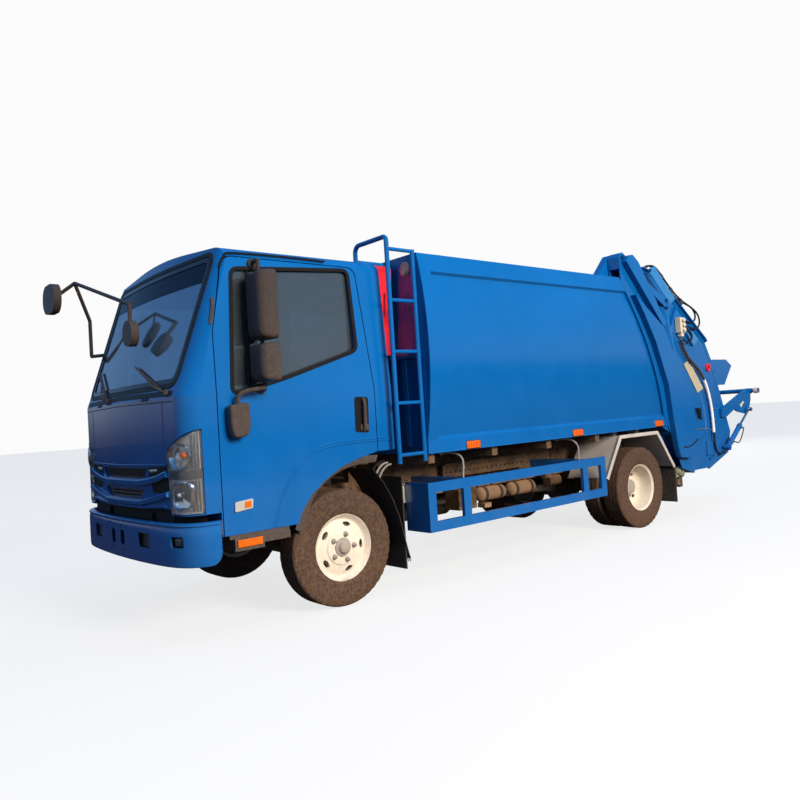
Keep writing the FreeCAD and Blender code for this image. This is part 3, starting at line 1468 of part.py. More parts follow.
lifter_x = COLUMN_INNER + size.gate_gap
cylinder_pair("gate", (along(size.gate_foot_y), size.gate_foot_z),
              (along(size.gate_eye_y), size.gate_eye_z),
              COLUMN_MIDDLE, size.gate_bore, size.gate_rod,
              COLUMN_INNER + size.column_plate + size.glass_gap, size.pin_radius)
cylinder_pair("bin", (along(size.bin_foot_y), size.bin_foot_z), (along(size.bin_eye_y), size.bin_eye_z),
              COLUMN_MIDDLE, size.bin_bore, size.bin_rod, lifter_x + size.lifter_plate + size.glass_gap,
              size.pin_radius * small_pin_share)

# Bin lifter at the rear of the hopper
lift_arm_outline = [
    (along(size.bin_pivot_y) - size.pin_radius * 3, size.bin_pivot_z - size.pin_radius * 3),
    (along(size.bin_pivot_y) + size.pin_radius * 3, size.bin_pivot_z - size.pin_radius * 3),
    (along(size.bin_tube_y) + size.bin_tube_radius, size.bin_tube_z - size.bin_tube_radius),
    (along(size.bin_tube_y) + size.bin_tube_radius, size.bin_tube_z + size.bin_tube_radius),
    (along(size.bin_tube_y) - size.bin_tube_radius * 4, size.bin_tube_z + size.bin_tube_radius),
    (along(size.bin_pivot_y) - size.pin_radius * 3, size.bin_pivot_z + size.pin_radius * 3)]
lift_arm = slab("lift_arm", "YZ", lift_arm_outline, lifter_x, lifter_x + size.lifter_plate,
                circles=[(along(size.bin_pivot_y), size.bin_pivot_z,
                          size.pin_radius + size.spring_gap)])
lift_tube = rod("lift_tube", (-size.body_half, along(size.bin_tube_y), size.bin_tube_z),
                (size.body_half, along(size.bin_tube_y), size.bin_tube_z),
                size.bin_tube_radius * tube_end_share)
fuse("bin_lifter", lift_arm, mirrored("lift_arm_right", lift_arm), lift_tube)

# Ejector plate in the load body
eject_half = size.body_half + size.body_bow
eject_block = box("ejector_block",
                  (-eject_half, along(size.body_front + size.body_wall * 2),
                   size.body_low + size.body_wall + size.spring_gap),
    (eject_half, along(size.body_front + size.body_wall * 3),
     size.body_high - size.body_wall - size.gate_gap * 5))
eject_form = slab("ejector_form", "XZ", body_face(size.body_wall + size.gate_gap),
                  along(size.body_front),
                  along(size.body_rear_low))
common("ejector", eject_block, eject_form)

# Cab

def screen_way(z):
    """How far the screen's slope has gone to the rear at a height above the belt."""
    return size.screen_drift * ((z - size.cab_belt) / (size.cab_roof - size.cab_belt))


def cab_side(inset):
    """The cab from the side: nose, raked screen, roof, rear wall, arch and sill."""
    front = along(size.cab_front) + inset - size.cab_wall / 4
    rear = along(size.cab_rear) - inset
    roof = size.cab_roof - inset + size.cab_wall / 4
    step_back = along(size.door_front - size.door_gap * 2) + inset
    return [(step_back, size.cab_sill + inset), (step_back, size.nose_low + inset),
            (front, size.nose_low + inset), (front, size.cab_belt),
            (front + screen_way(roof), roof, size.roof_front_round),
            (rear - size.cab_lean, roof, size.roof_rear_round), (rear, size.cab_belt),
            (rear, size.cab_floor + inset),
            (along(size.door_rear) - inset * arch_inset_share, size.cab_floor + inset),
            *[(along(u) - inset * arch_inset_share, v + inset * arch_inset_share)
              for u, v in arch_edge()[1:]],
            (along(size.arch_front) - inset, size.cab_sill + inset)]


ARCH_SHARE = [(1.0, 0.985), (0.72, 0.9), (0.53, 0.8), (0.35, 0.64), (0.17, 0.42), (0.05, 0.18)]


def arch_edge():
    """The wheel arch from its rear end to its front foot, as distances behind the axle and heights."""
    long = size.door_rear - size.arch_front
    tall = size.cab_floor - size.cab_sill
    return [(size.arch_front + long * u, size.cab_sill + tall * v) for u, v in ARCH_SHARE]


def cab_plan(inset):
    """The cab from above: a crowned front with rounded corners."""
    x = size.cab_half - inset
    front = along(size.cab_front) + inset
    rear = along(size.cab_rear) + size.overrun
    corner = size.cab_corner - inset
    return [(-x, rear), (-x, front + size.cab_bow, corner), (0 * x, front, size.cab_crown),
            (x, front + size.cab_bow, corner), (x, rear)]


def cab_face(inset):
    """The cab from the front, leaning in above the belt to a crowned roof."""
    x = size.cab_half - inset
    low = size.cab_sill - size.overrun
    side_x = x - size.cab_lean
    return [(x, low), (x, size.cab_belt), (side_x, size.roof_side - inset, size.roof_round - inset),
            (0 * x, size.cab_roof - inset, size.roof_crown),
            (-side_x, size.roof_side - inset, size.roof_round - inset),
            (-x, size.cab_belt), (-x, low)]


def cab_form(name, inset):
    """The cab's whole form, set in by a wall."""
    rear = along(size.cab_rear)
    front = along(size.cab_front)
    under = size.cab_sill - size.overrun
    over = size.cab_roof + size.overrun
    side_form = slab(f"{name}_side", "YZ", cab_side(inset), -size.cab_half - size.overrun,
                     size.cab_half + size.overrun)
    lower = slab(f"{name}_lower", "XY", cab_plan(inset), under, size.cab_belt)
    upper = leaning(f"{name}_upper", cab_plan(inset), size.cab_belt, over, screen_way(over))
    face_form = slab(f"{name}_face", "XZ", cab_face(inset), front - size.overrun, rear + size.overrun)
    whole = common(f"{name}_whole", side_form, fuse(f"{name}_plan", lower, upper), face_form)
    tunnel = box(f"{name}_tunnel", (-size.tunnel_half - inset, front + size.nose_deep - inset, under),
                 (size.tunnel_half + inset, rear + size.overrun, size.tunnel_top + inset))
    nose = box(f"{name}_nose", (-size.nose_half - inset, front - size.overrun, under),
               (size.nose_half + inset, front + size.nose_back + inset, size.nose_panel + inset))
    well_half = size.cab_half - size.cab_wall
    well = rod(f"{name}_well", (-well_half, size.front_axle_y, WHEEL_Z),
               (well_half, size.front_axle_y, WHEEL_Z),
               size.well_radius + inset)
    return cut(name, whole, tunnel, nose, well)


def door_outline(grow):
    """The door from the side: sill, pillar, top, rear edge and the cut over the wheel."""
    front = along(size.door_front) - grow
    rear = along(size.door_rear) + grow
    span = size.door_rear - size.door_front
    return [(front, size.cab_sill - grow), (front, size.door_knee),
            (front + size.door_slope, size.door_top + grow, size.door_round),
            (rear - span * door_top_share, size.door_top + grow, size.door_round),
            (rear, size.cab_belt), (rear, size.cab_floor - grow),
            *[(along(u) + grow * arch_inset_share, v - grow * arch_inset_share)
              for u, v in arch_edge()[1:]],
            (along(size.arch_front) + grow, size.cab_sill - grow)]


def window_outline(grow):
    """The door's window opening."""
    front = along(size.door_front)
    span = size.door_rear - size.door_front
    corner = size.window_round
    foot_ahead, top_ahead, top_behind, foot_behind, knee = [front + span * share
                                                            for share in window_shares]
    return [(foot_ahead - grow, size.cab_belt - grow, corner),
            (top_ahead - grow, size.door_top - size.guard_bar + grow, corner),
            (top_behind + grow, size.door_top - size.guard_bar / 4 + grow, corner),
            (foot_behind + grow, size.cab_belt + size.guard_bar * window_step_share - grow, corner),
            (knee, size.cab_belt + size.guard_bar - grow)]


cab_outer = cab_form("cab_outer", 0 * size.cab_wall)
cab_inner = cab_form("cab_inner", size.cab_wall)
cab_hollow = cut("cab_hollow", cab_outer, cab_inner)
door_hole = slab("door_hole", "YZ", door_outline(size.door_gap),
                 size.cab_half - size.cab_wall - size.cab_lean * 2,
                 size.cab_half + size.overrun)
door_block = slab("door_block", "YZ", door_outline(0 * size.door_gap),
                  size.cab_half - size.cab_wall - size.cab_lean * 2,
                  size.cab_half + size.overrun)
window_block = slab("window_block", "YZ", window_outline(0 * size.door_gap),
                    size.cab_half - size.cab_wall - size.cab_lean * 2, size.cab_half + size.overrun)
screen_rear = along(size.cab_front) + screen_way(size.screen_high) + size.cab_wall * 3


def screen_outline(grow):
    """The windscreen's opening from the front."""
    foot = size.screen_foot_half + grow
    head = size.screen_head_half + grow
    corner = size.screen_round
    return [(-foot, size.screen_low - grow, corner), (foot, size.screen_low - grow, corner),
            (head, size.screen_high + grow, corner), (-head, size.screen_high + grow, corner)]


screen_hole = slab("screen_hole", "XZ", screen_outline(0 * size.glass_gap),
                   along(size.cab_front) - size.overrun,
                   screen_rear)
rear_hole = box("rear_hole",
                (-size.rear_glass_half, along(size.cab_rear) - size.cab_wall * 2,
                 size.screen_low + size.guard_bar),
                (size.rear_glass_half, along(size.cab_rear) + size.overrun,
                 size.screen_high - size.guard_bar * 2))


def front_opening(name, low_half, low, top_half, top, grow):
    """A block through the front panel that is wider at its top."""
    outline = [(-low_half - grow * 3, low - grow), (low_half + grow * 3, low - grow),
               (top_half + grow * 3, top + grow), (-top_half - grow * 3, top + grow)]
    return slab(name, "XZ", outline, along(size.cab_front) - size.overrun,
                along(size.cab_front) + size.cab_wall * seat_cut_share)


SLOT = (size.slot_low_half, size.slot_low, size.slot_top_half, size.slot_top)
INTAKE = (size.intake_low_half, size.intake_low, size.intake_top_half, size.intake_top)
slot_hole = front_opening("slot_hole", *SLOT, 0 * size.glass_gap)
intake_hole = front_opening("intake_hole", *INTAKE, 0 * size.glass_gap)


def headlamp_block(name, grow):
    """What a headlamp covers, seen from the front, to its rear edge on the cab's side."""
    outline = [(size.headlamp_foot - grow, size.headlamp_low - grow),
               (size.cab_half + size.overrun, size.headlamp_low - grow),
               (size.cab_half + size.overrun, size.headlamp_high + size.overrun / 2 + grow),
               (size.headlamp_inner - grow, size.headlamp_mid + grow)]
    return slab(name, "XZ", outline, along(size.cab_front) - size.overrun,
                along(size.headlamp_rear) + grow)


def headlamp_form(name, grow):
    """A layer of the cab's own front within a headlamp's outline."""
    front = cab_form(f"{name}_front", -size.headlamp_proud - grow)
    back = cab_form(f"{name}_back", size.headlamp_deep + grow)
    return common(name, cut(f"{name}_sheet", front, back), headlamp_block(f"{name}_block", grow))


lamp_seat = headlamp_form("headlamp_seat", size.glass_gap)
cut("cab_shell", cab_hollow, door_hole, mirrored("door_hole_right", door_hole), screen_hole, rear_hole,
    slot_hole,
    intake_hole, lamp_seat, mirrored("headlamp_seat_right", lamp_seat))
both_sides("headlamps", headlamp_form("headlamp", 0 * size.glass_gap))


def grille_insert(name, opening, holes):
    """A plate set back in one of the front panel's openings, with its own holes."""
    front = cab_form(f"{name}_front", size.grille_set)
    back = cab_form(f"{name}_back", size.grille_set + size.slat_wide * 2)
    block = front_opening(f"{name}_block", *opening, -size.glass_gap)
    return cut(name, common(f"{name}_plate", cut(f"{name}_sheet", front, back), block), *holes)


slot_holes = []
slat_count = 30
for index in range(slat_count):
    middle = (index - (slat_count - 1) / 2) * size.slat_step
    slot_holes.append(box(f"slat_gap_{index}",
                          (middle - (size.slat_step - size.slat_wide) / 2,
                           along(size.cab_front) - size.overrun,
                           size.slot_low + size.slat_wide),
                          (middle + (size.slat_step - size.slat_wide) / 2,
                           along(size.cab_front) + size.cab_wall * 2,
                           size.slot_top - size.slat_wide)))
bar_wide = size.slat_wide * 2
bar_step = (size.intake_top - size.intake_low - bar_wide) / 2
intake_holes = [box(f"intake_gap_{index}",
                    (-size.intake_low_half + bar_wide, along(size.cab_front) - size.overrun,
                     size.intake_low + bar_wide + bar_step * index),
                    (size.intake_low_half - bar_wide, along(size.cab_front) + size.cab_wall * 2,
                     size.intake_low + bar_step * (index + 1)))
                for index in range(2)]
group("front_grille", grille_insert("grille_upper", SLOT, slot_holes),
      grille_insert("grille_lower", INTAKE, intake_holes))

door_left = cut("door_left", common("door_skin", document.getObject("cab_hollow"), door_block),
                window_block)
mirrored("door_right", door_left)
pane = size.cab_half - size.cab_wall / 2
glass_left = slab("door_glass_left", "YZ", window_outline(-size.glass_gap), pane - size.cab_lean,
                  pane - size.cab_lean + size.screen_thick)
mirrored("door_glass_right", glass_left)

screen_form = cab_form("screen_form", size.screen_thick)
screen_back = cab_form("screen_back", size.screen_thick * 2)
screen_gap = size.glass_gap
screen_block = slab("screen_block", "XZ", screen_outline(-screen_gap),
                    along(size.cab_front) - size.overrun,
                    screen_rear)
windscreen = common("windscreen", cut("screen_sheet", screen_form, screen_back), screen_block)
pane_y = along(size.cab_rear) - size.cab_wall / 2
rear_window = box("rear_window",
                  (-size.rear_glass_half + screen_gap, pane_y,
                   size.screen_low + size.guard_bar + screen_gap),
                  (size.rear_glass_half - screen_gap, pane_y + size.screen_thick,
                   size.screen_high - size.guard_bar * 2 - screen_gap))

group("cab_glass", windscreen, rear_window)

# What the cab carries inside and out

seat_low = size.cab_floor + size.cab_wall + size.glass_gap
seats = []
for index, x in enumerate((size.seat_x, -size.seat_x)):
    base = box(f"seat_base_{index}",
               (x - size.seat_wide / 2, along(size.seat_y) - size.seat_deep / 2, seat_low),
               (x + size.seat_wide / 2, along(size.seat_y) + size.seat_deep / 2 - size.seat_thick,
                seat_low + size.seat_thick))
    rest = box(f"seat_rest_{index}",
               (x - size.seat_wide / 2, along(size.seat_y) + size.seat_deep / 2 - size.seat_thick,
                seat_low),
               (x + size.seat_wide / 2, along(size.seat_y) + size.seat_deep / 2,
                seat_low + size.seat_back))
    seats.append(fuse(f"seat_{index}", base, rest))
group("seats", *seats)

dash_front = along(size.cab_front) + size.cab_wall + size.glass_gap
dash_half = size.cab_half - size.cab_wall - size.gate_gap
dash_block = box("dash_block", (-dash_half, along(size.cab_front), size.dash_low),
                 (dash_half, dash_front + size.dash_deep, size.dash_high))
common("dashboard", cab_form("dash_form", size.cab_wall + size.glass_gap), dash_block)
ring = document.addObject("Part::Torus", "wheel_ring")
bind(ring, Radius1=size.wheel_rim, Radius2=size.wheel_tube)
place(ring, (size.seat_x, along(size.wheel_y), size.wheel_z), Rotation(Vector(1, 0, 0), WHEEL_RAKE))
spoke = box("wheel_spoke",
            (size.seat_x - size.wheel_rim, along(size.wheel_y) - size.wheel_tube,
             size.wheel_z - size.wheel_tube),
            (size.seat_x + size.wheel_rim, along(size.wheel_y) + size.wheel_tube,
             size.wheel_z + size.wheel_tube / 2))
column_bar = rod("wheel_column", (size.seat_x, along(size.wheel_y), size.wheel_z),
                 (size.seat_x, dash_front + size.dash_deep - size.wheel_tube,
                  size.dash_high - size.cab_wall * 3),
                 size.wheel_tube)
dash_seat = box("dash_seat", (-dash_half, along(size.cab_front), size.dash_low),
                (dash_half, dash_front + size.dash_deep + size.glass_gap, size.dash_high))
cut("steering_wheel", fuse("wheel_whole", ring, spoke, column_bar), dash_seat)

step = box("cab_step", (size.cab_half - size.step_wide, along(size.step_front), size.step_low),
           (size.cab_half - size.glass_gap, along(size.step_rear), size.step_high))
step_stay = box("cab_step_stay",
                (size.cab_half - size.step_wide, along(size.step_front), size.step_high),
                (size.cab_half - size.step_wide + size.cab_wall, along(size.step_rear), size.cab_sill))
both_sides("cab_steps", fuse("step_left", step, step_stay))


def housing(name, low, high):
    """A mirror housing with rounded corners, facing the rear."""
    x0 = size.mirror_x - size.mirror_wide / 2
    x1 = size.mirror_x + size.mirror_wide / 2
    round_off = size.mirror_deep / 2
    outline = [(x0, low, round_off), (x1, low, round_off), (x1, high, round_off), (x0, high, round_off)]
    return slab(name, "XZ", outline, along(size.mirror_y) - size.mirror_deep / 2,
                along(size.mirror_y) + size.mirror_deep / 2)


pole_x = size.cab_half + size.arm_radius * 4
mirror_pole = rod("mirror_pole", (pole_x, along(size.mirror_y), size.arm_foot),
                  (pole_x, along(size.mirror_y), size.arm_top), size.arm_radius)
mirror_arms = [rod(f"mirror_arm_{index}", (inner, along(size.mirror_y), z),
                   (pole_x, along(size.mirror_y), z),
                   size.arm_radius)
               for index, (z, inner) in enumerate(((size.arm_foot, size.cab_half + size.glass_gap),
                                                   (size.arm_top,
                                                    size.cab_half - size.cab_lean * arm_lean_share)))]
fuse("mirrors_left", mirror_pole, *mirror_arms,
     housing("mirror_main", size.mirror_low, size.mirror_high),
     housing("mirror_wide_angle", size.kerb_low, size.kerb_high))
mirrored("mirrors_right", document.getObject("mirrors_left"))

foot_spot = (size.bracket_x, along(size.bracket_y), size.bracket_low)
bend_spot = (size.bracket_x, along(size.bracket_y), size.bracket_top)
apex_spot = (size.apex_x, along(size.apex_y), size.apex_z)
reach_spot = (size.reach_x, along(size.reach_y), size.reach_z)
oval_spot = (size.oval_x, along(size.oval_y), size.oval_z)
bars = [rod(f"bracket_bar_{index}", start, end, size.arm_radius)
        for index, (start, end) in enumerate(((foot_spot, bend_spot), (bend_spot, apex_spot),
                                              (apex_spot, reach_spot), (apex_spot, oval_spot)))]
drop_spot = (size.reach_x, along(size.reach_y), size.reach_z - size.round_drop)
drop_bar = rod("bracket_drop", reach_spot, drop_spot, size.arm_radius)
round_glass = rod("round_mirror", (drop_spot[0], drop_spot[1] - size.oval_deep / 2, drop_spot[2]),
                  (drop_spot[0], drop_spot[1] + size.oval_deep / 2, drop_spot[2]), size.round_radius)
oval_round = size.oval_tall * oval_round_share
oval_outline = [(size.oval_x - size.oval_wide, size.oval_z - size.oval_tall, oval_round),
                (size.oval_x + size.oval_wide, size.oval_z - size.oval_tall, oval_round),
                (size.oval_x + size.oval_wide, size.oval_z + size.oval_tall, oval_round),
                (size.oval_x - size.oval_wide, size.oval_z + size.oval_tall, oval_round)]
oval_glass = slab("oval_mirror", "XZ", oval_outline, oval_spot[1] - size.oval_deep / 2,
                  oval_spot[1] + size.oval_deep / 2)
pillar_bar = rod("bracket_seat", foot_spot,
                 (size.bracket_x + size.arm_radius * 8, foot_spot[1] + size.arm_radius * 4,
                                             size.bracket_low), size.arm_radius)
cut("front_mirrors", fuse("bracket_whole", *bars, pillar_bar, drop_bar, round_glass, oval_glass),
    cab_form("bracket_pillar", -size.glass_gap))

# Tail lamps under the rear of the body
lamp = box("tail_lamp", (size.lamp_x, along(size.lamp_y), size.lamp_z - size.lamp_tall / 2),
           (size.lamp_x + size.lamp_long, along(size.lamp_y) + size.lamp_deep,
            size.lamp_z + size.lamp_tall / 2))
both_sides("tail_lamps", lamp)

# Writing the nodes

NODES = ["tyre_front_left", "tyre_front_right", "rim_front_left", "rim_front_right",
         "tyres_rear_left", "tyres_rear_right", "rims_rear_left", "rims_rear_right",
         "knuckle_left", "knuckle_right", "tie_rod", "chassis_frame", "front_axle", "rear_axle",
         "leaf_springs", "engine", "driveshaft", "fuel_tank", "battery_box",
         "front_bumper", "fog_lamps", "side_guards", "rear_fenders", "mud_flaps", "side_markers",
         "subframe", "body_shell", "ladder", "red_tank", "tailgate", "bin_lifter", "ejector",
         "cab_shell", "door_left", "door_right", "door_glass_left", "door_glass_right",
         "cab_glass", "carriage", "packer_blade", "slide_barrels", "gate_barrels",
         "gate_rods", "bin_barrels", "bin_rods", "headlamps", "front_grille", "seats", "dashboard",
         "steering_wheel", "cab_steps", "mirrors_left", "mirrors_right", "front_mirrors",
         "tail_lamps"]

document.recompute()
failed = [item.Name for item in document.Objects if "Invalid" in item.State or "Error" in item.State]
if failed:
    raise RuntimeError(f"these failed: {failed}")
os.makedirs("parts", exist_ok=True)
for node in NODES:
    piece = document.getObject(node)
    piece.Label = node
    if piece.Shape.isNull() or not piece.Shape.isValid():
        raise RuntimeError(f"{node} has no valid shape")
for node in NODES:
    document.getObject(node).Shape.exportStep(f"parts/{node}.step")
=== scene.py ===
import bpy
import bmesh
import json
import math
from mathutils import Matrix, Vector


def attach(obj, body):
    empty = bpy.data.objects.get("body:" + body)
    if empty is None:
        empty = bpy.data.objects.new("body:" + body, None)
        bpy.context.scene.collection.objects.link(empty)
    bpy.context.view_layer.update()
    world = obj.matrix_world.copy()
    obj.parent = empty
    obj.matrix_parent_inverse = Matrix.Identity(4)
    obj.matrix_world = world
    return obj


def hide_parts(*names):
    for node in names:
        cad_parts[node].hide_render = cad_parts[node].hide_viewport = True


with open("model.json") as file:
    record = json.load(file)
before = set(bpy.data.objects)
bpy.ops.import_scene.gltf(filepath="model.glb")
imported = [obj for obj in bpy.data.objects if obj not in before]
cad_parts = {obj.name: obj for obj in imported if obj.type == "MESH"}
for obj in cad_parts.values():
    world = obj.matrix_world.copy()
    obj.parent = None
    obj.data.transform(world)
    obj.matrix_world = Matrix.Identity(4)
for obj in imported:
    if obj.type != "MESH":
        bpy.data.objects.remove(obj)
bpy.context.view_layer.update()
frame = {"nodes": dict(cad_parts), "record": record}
nodes = frame["nodes"]

# Axes, and the front axle's place in metres, which every place in millimetres is counted from

MM = 0.001
X, Y, Z = Vector((1, 0, 0)), Vector((0, 1, 0)), Vector((0, 0, 1))
FRONT_AXLE = -2.272
REAR_AXLE = 3360


def link(name, data):
    """A new object in the scene."""
    thing = bpy.data.objects.new(name, data)
    bpy.context.scene.collection.objects.link(thing)
    return thing


def stand_camera(place, turns_deg, lens, shift):
    """The camera at the photograph's place, fitted in advance."""
    yaw, pitch, roll = (math.radians(a) for a in turns_deg)
    look = Vector((-math.sin(yaw) * math.cos(pitch), math.cos(yaw) * math.cos(pitch), -math.sin(pitch)))
    side = Vector((math.cos(yaw), math.sin(yaw), 0))
    over = side.cross(look)
    right = math.cos(roll) * side + math.sin(roll) * over
    up = -math.sin(roll) * side + math.cos(roll) * over
    camera = link("camera", bpy.data.cameras.new("camera"))
    camera.matrix_world = Matrix.Translation(place) @ Matrix((right, up, -look)).transposed().to_4x4()
    camera.data.lens = lens
    camera.data.sensor_width = 36
    camera.data.shift_x, camera.data.shift_y = shift
    camera.data.clip_start, camera.data.clip_end = 0.05, 200
    bpy.context.scene.camera = camera


stand_camera((4.99127, -2.77026 + FRONT_AXLE, 1.25399), (47.66, -1.91, -3.76), 33.22, (-0.0565, -0.0190))
bpy.context.scene.view_settings.view_transform = "Standard"

# Materials

DUST = (0.30, 0.26, 0.22)


def put(tree, kind, *places, settings=(), **inputs):
    """A shader node whose inputs, by place or by name, take a value or another node's output."""
    node = tree.nodes.new("ShaderNode" + kind)
    for key, value in dict(settings).items():
        setattr(node, key, value)
    for where, value in [*enumerate(places), *((key.replace("_", " "), v) for key, v in inputs.items())]:
        if isinstance(value, bpy.types.NodeSocket):
            tree.links.new(value, node.inputs[where])
        else:
            node.inputs[where].default_value = value
    return node


def dusted(tree, place, color, rough, scale, dust, low, top, tint=DUST):
    """A colour and a roughness under patchy dust that thins from a low to a top height."""
    height = put(tree, "SeparateXYZ", Vector=place).outputs["Z"]
    fade = put(tree, "MapRange", Value=height, From_Min=low, From_Max=top, To_Min=dust, To_Max=dust * 0.12)
    patch = put(tree, "TexNoise", Vector=place, Scale=scale * 4, Detail=8)
    spotty = put(tree, "MapRange", Value=patch.outputs["Fac"], From_Min=0.35, From_Max=0.75, To_Min=0.45,
                 To_Max=1.5)
    share = put(tree, "Math", fade.outputs["Result"], spotty.outputs["Result"],
                settings={"operation": "MULTIPLY", "use_clamp": True}).outputs["Value"]
    mix = put(tree, "Mix", settings={"data_type": "RGBA"}, Factor=share, A=color, B=(*tint, 1))
    dull = put(tree, "Mix", Factor=share, A=rough, B=0.85)
    return mix.outputs["Result"], dull.outputs["Result"]


def finish(name, color, rough, cloud, grain=None, dust=None, metal=0.0, coat=0.0, glass=0.0, uneven=0.1):
    """A surface: cloud is its colour's spread and scale, grain its bump and scale, dust as in dusted()."""
    made = bpy.data.materials.new(name)
    made.use_nodes = True
    tree = made.node_tree
    place = put(tree, "TexCoord").outputs["Object"]
    spread, scale = cloud
    patches = put(tree, "TexNoise", Vector=place, Scale=scale, Detail=6, Roughness=0.6).outputs["Fac"]
    ramp = put(tree, "ValToRGB", Fac=patches)
    for stop, along, share in zip(ramp.color_ramp.elements, (0.3, 0.7), (1 - spread, 1 + spread)):
        stop.position = along
        stop.color = (*[min(1, c * share) for c in color], 1)
    gloss = put(tree, "MapRange", Value=patches, To_Min=max(0.02, rough - uneven),
                To_Max=min(1, rough + uneven))
    shown = ramp.outputs["Color"], gloss.outputs["Result"]
    if dust:
        shown = dusted(tree, place, *shown, scale, *dust)
    shader = tree.nodes["Principled BSDF"]
    tree.links.new(shown[0], shader.inputs["Base Color"])
    tree.links.new(shown[1], shader.inputs["Roughness"])
    for key, value in (("Metallic", metal), ("Coat Weight", coat), ("Coat Roughness", 0.04),
                       ("Specular IOR Level", 0.35), ("Transmission Weight", glass)):
        shader.inputs[key].default_value = value
    if glass:
        shader.inputs["IOR"].default_value = 1.12
    if grain:
        fine = put(tree, "TexNoise", Vector=place, Scale=grain[1], Detail=5).outputs["Fac"]
        rise = put(tree, "Bump", Strength=grain[0], Distance=0.004, Height=fine)
        tree.links.new(rise.outputs["Normal"], shader.inputs["Normal"])
    return made


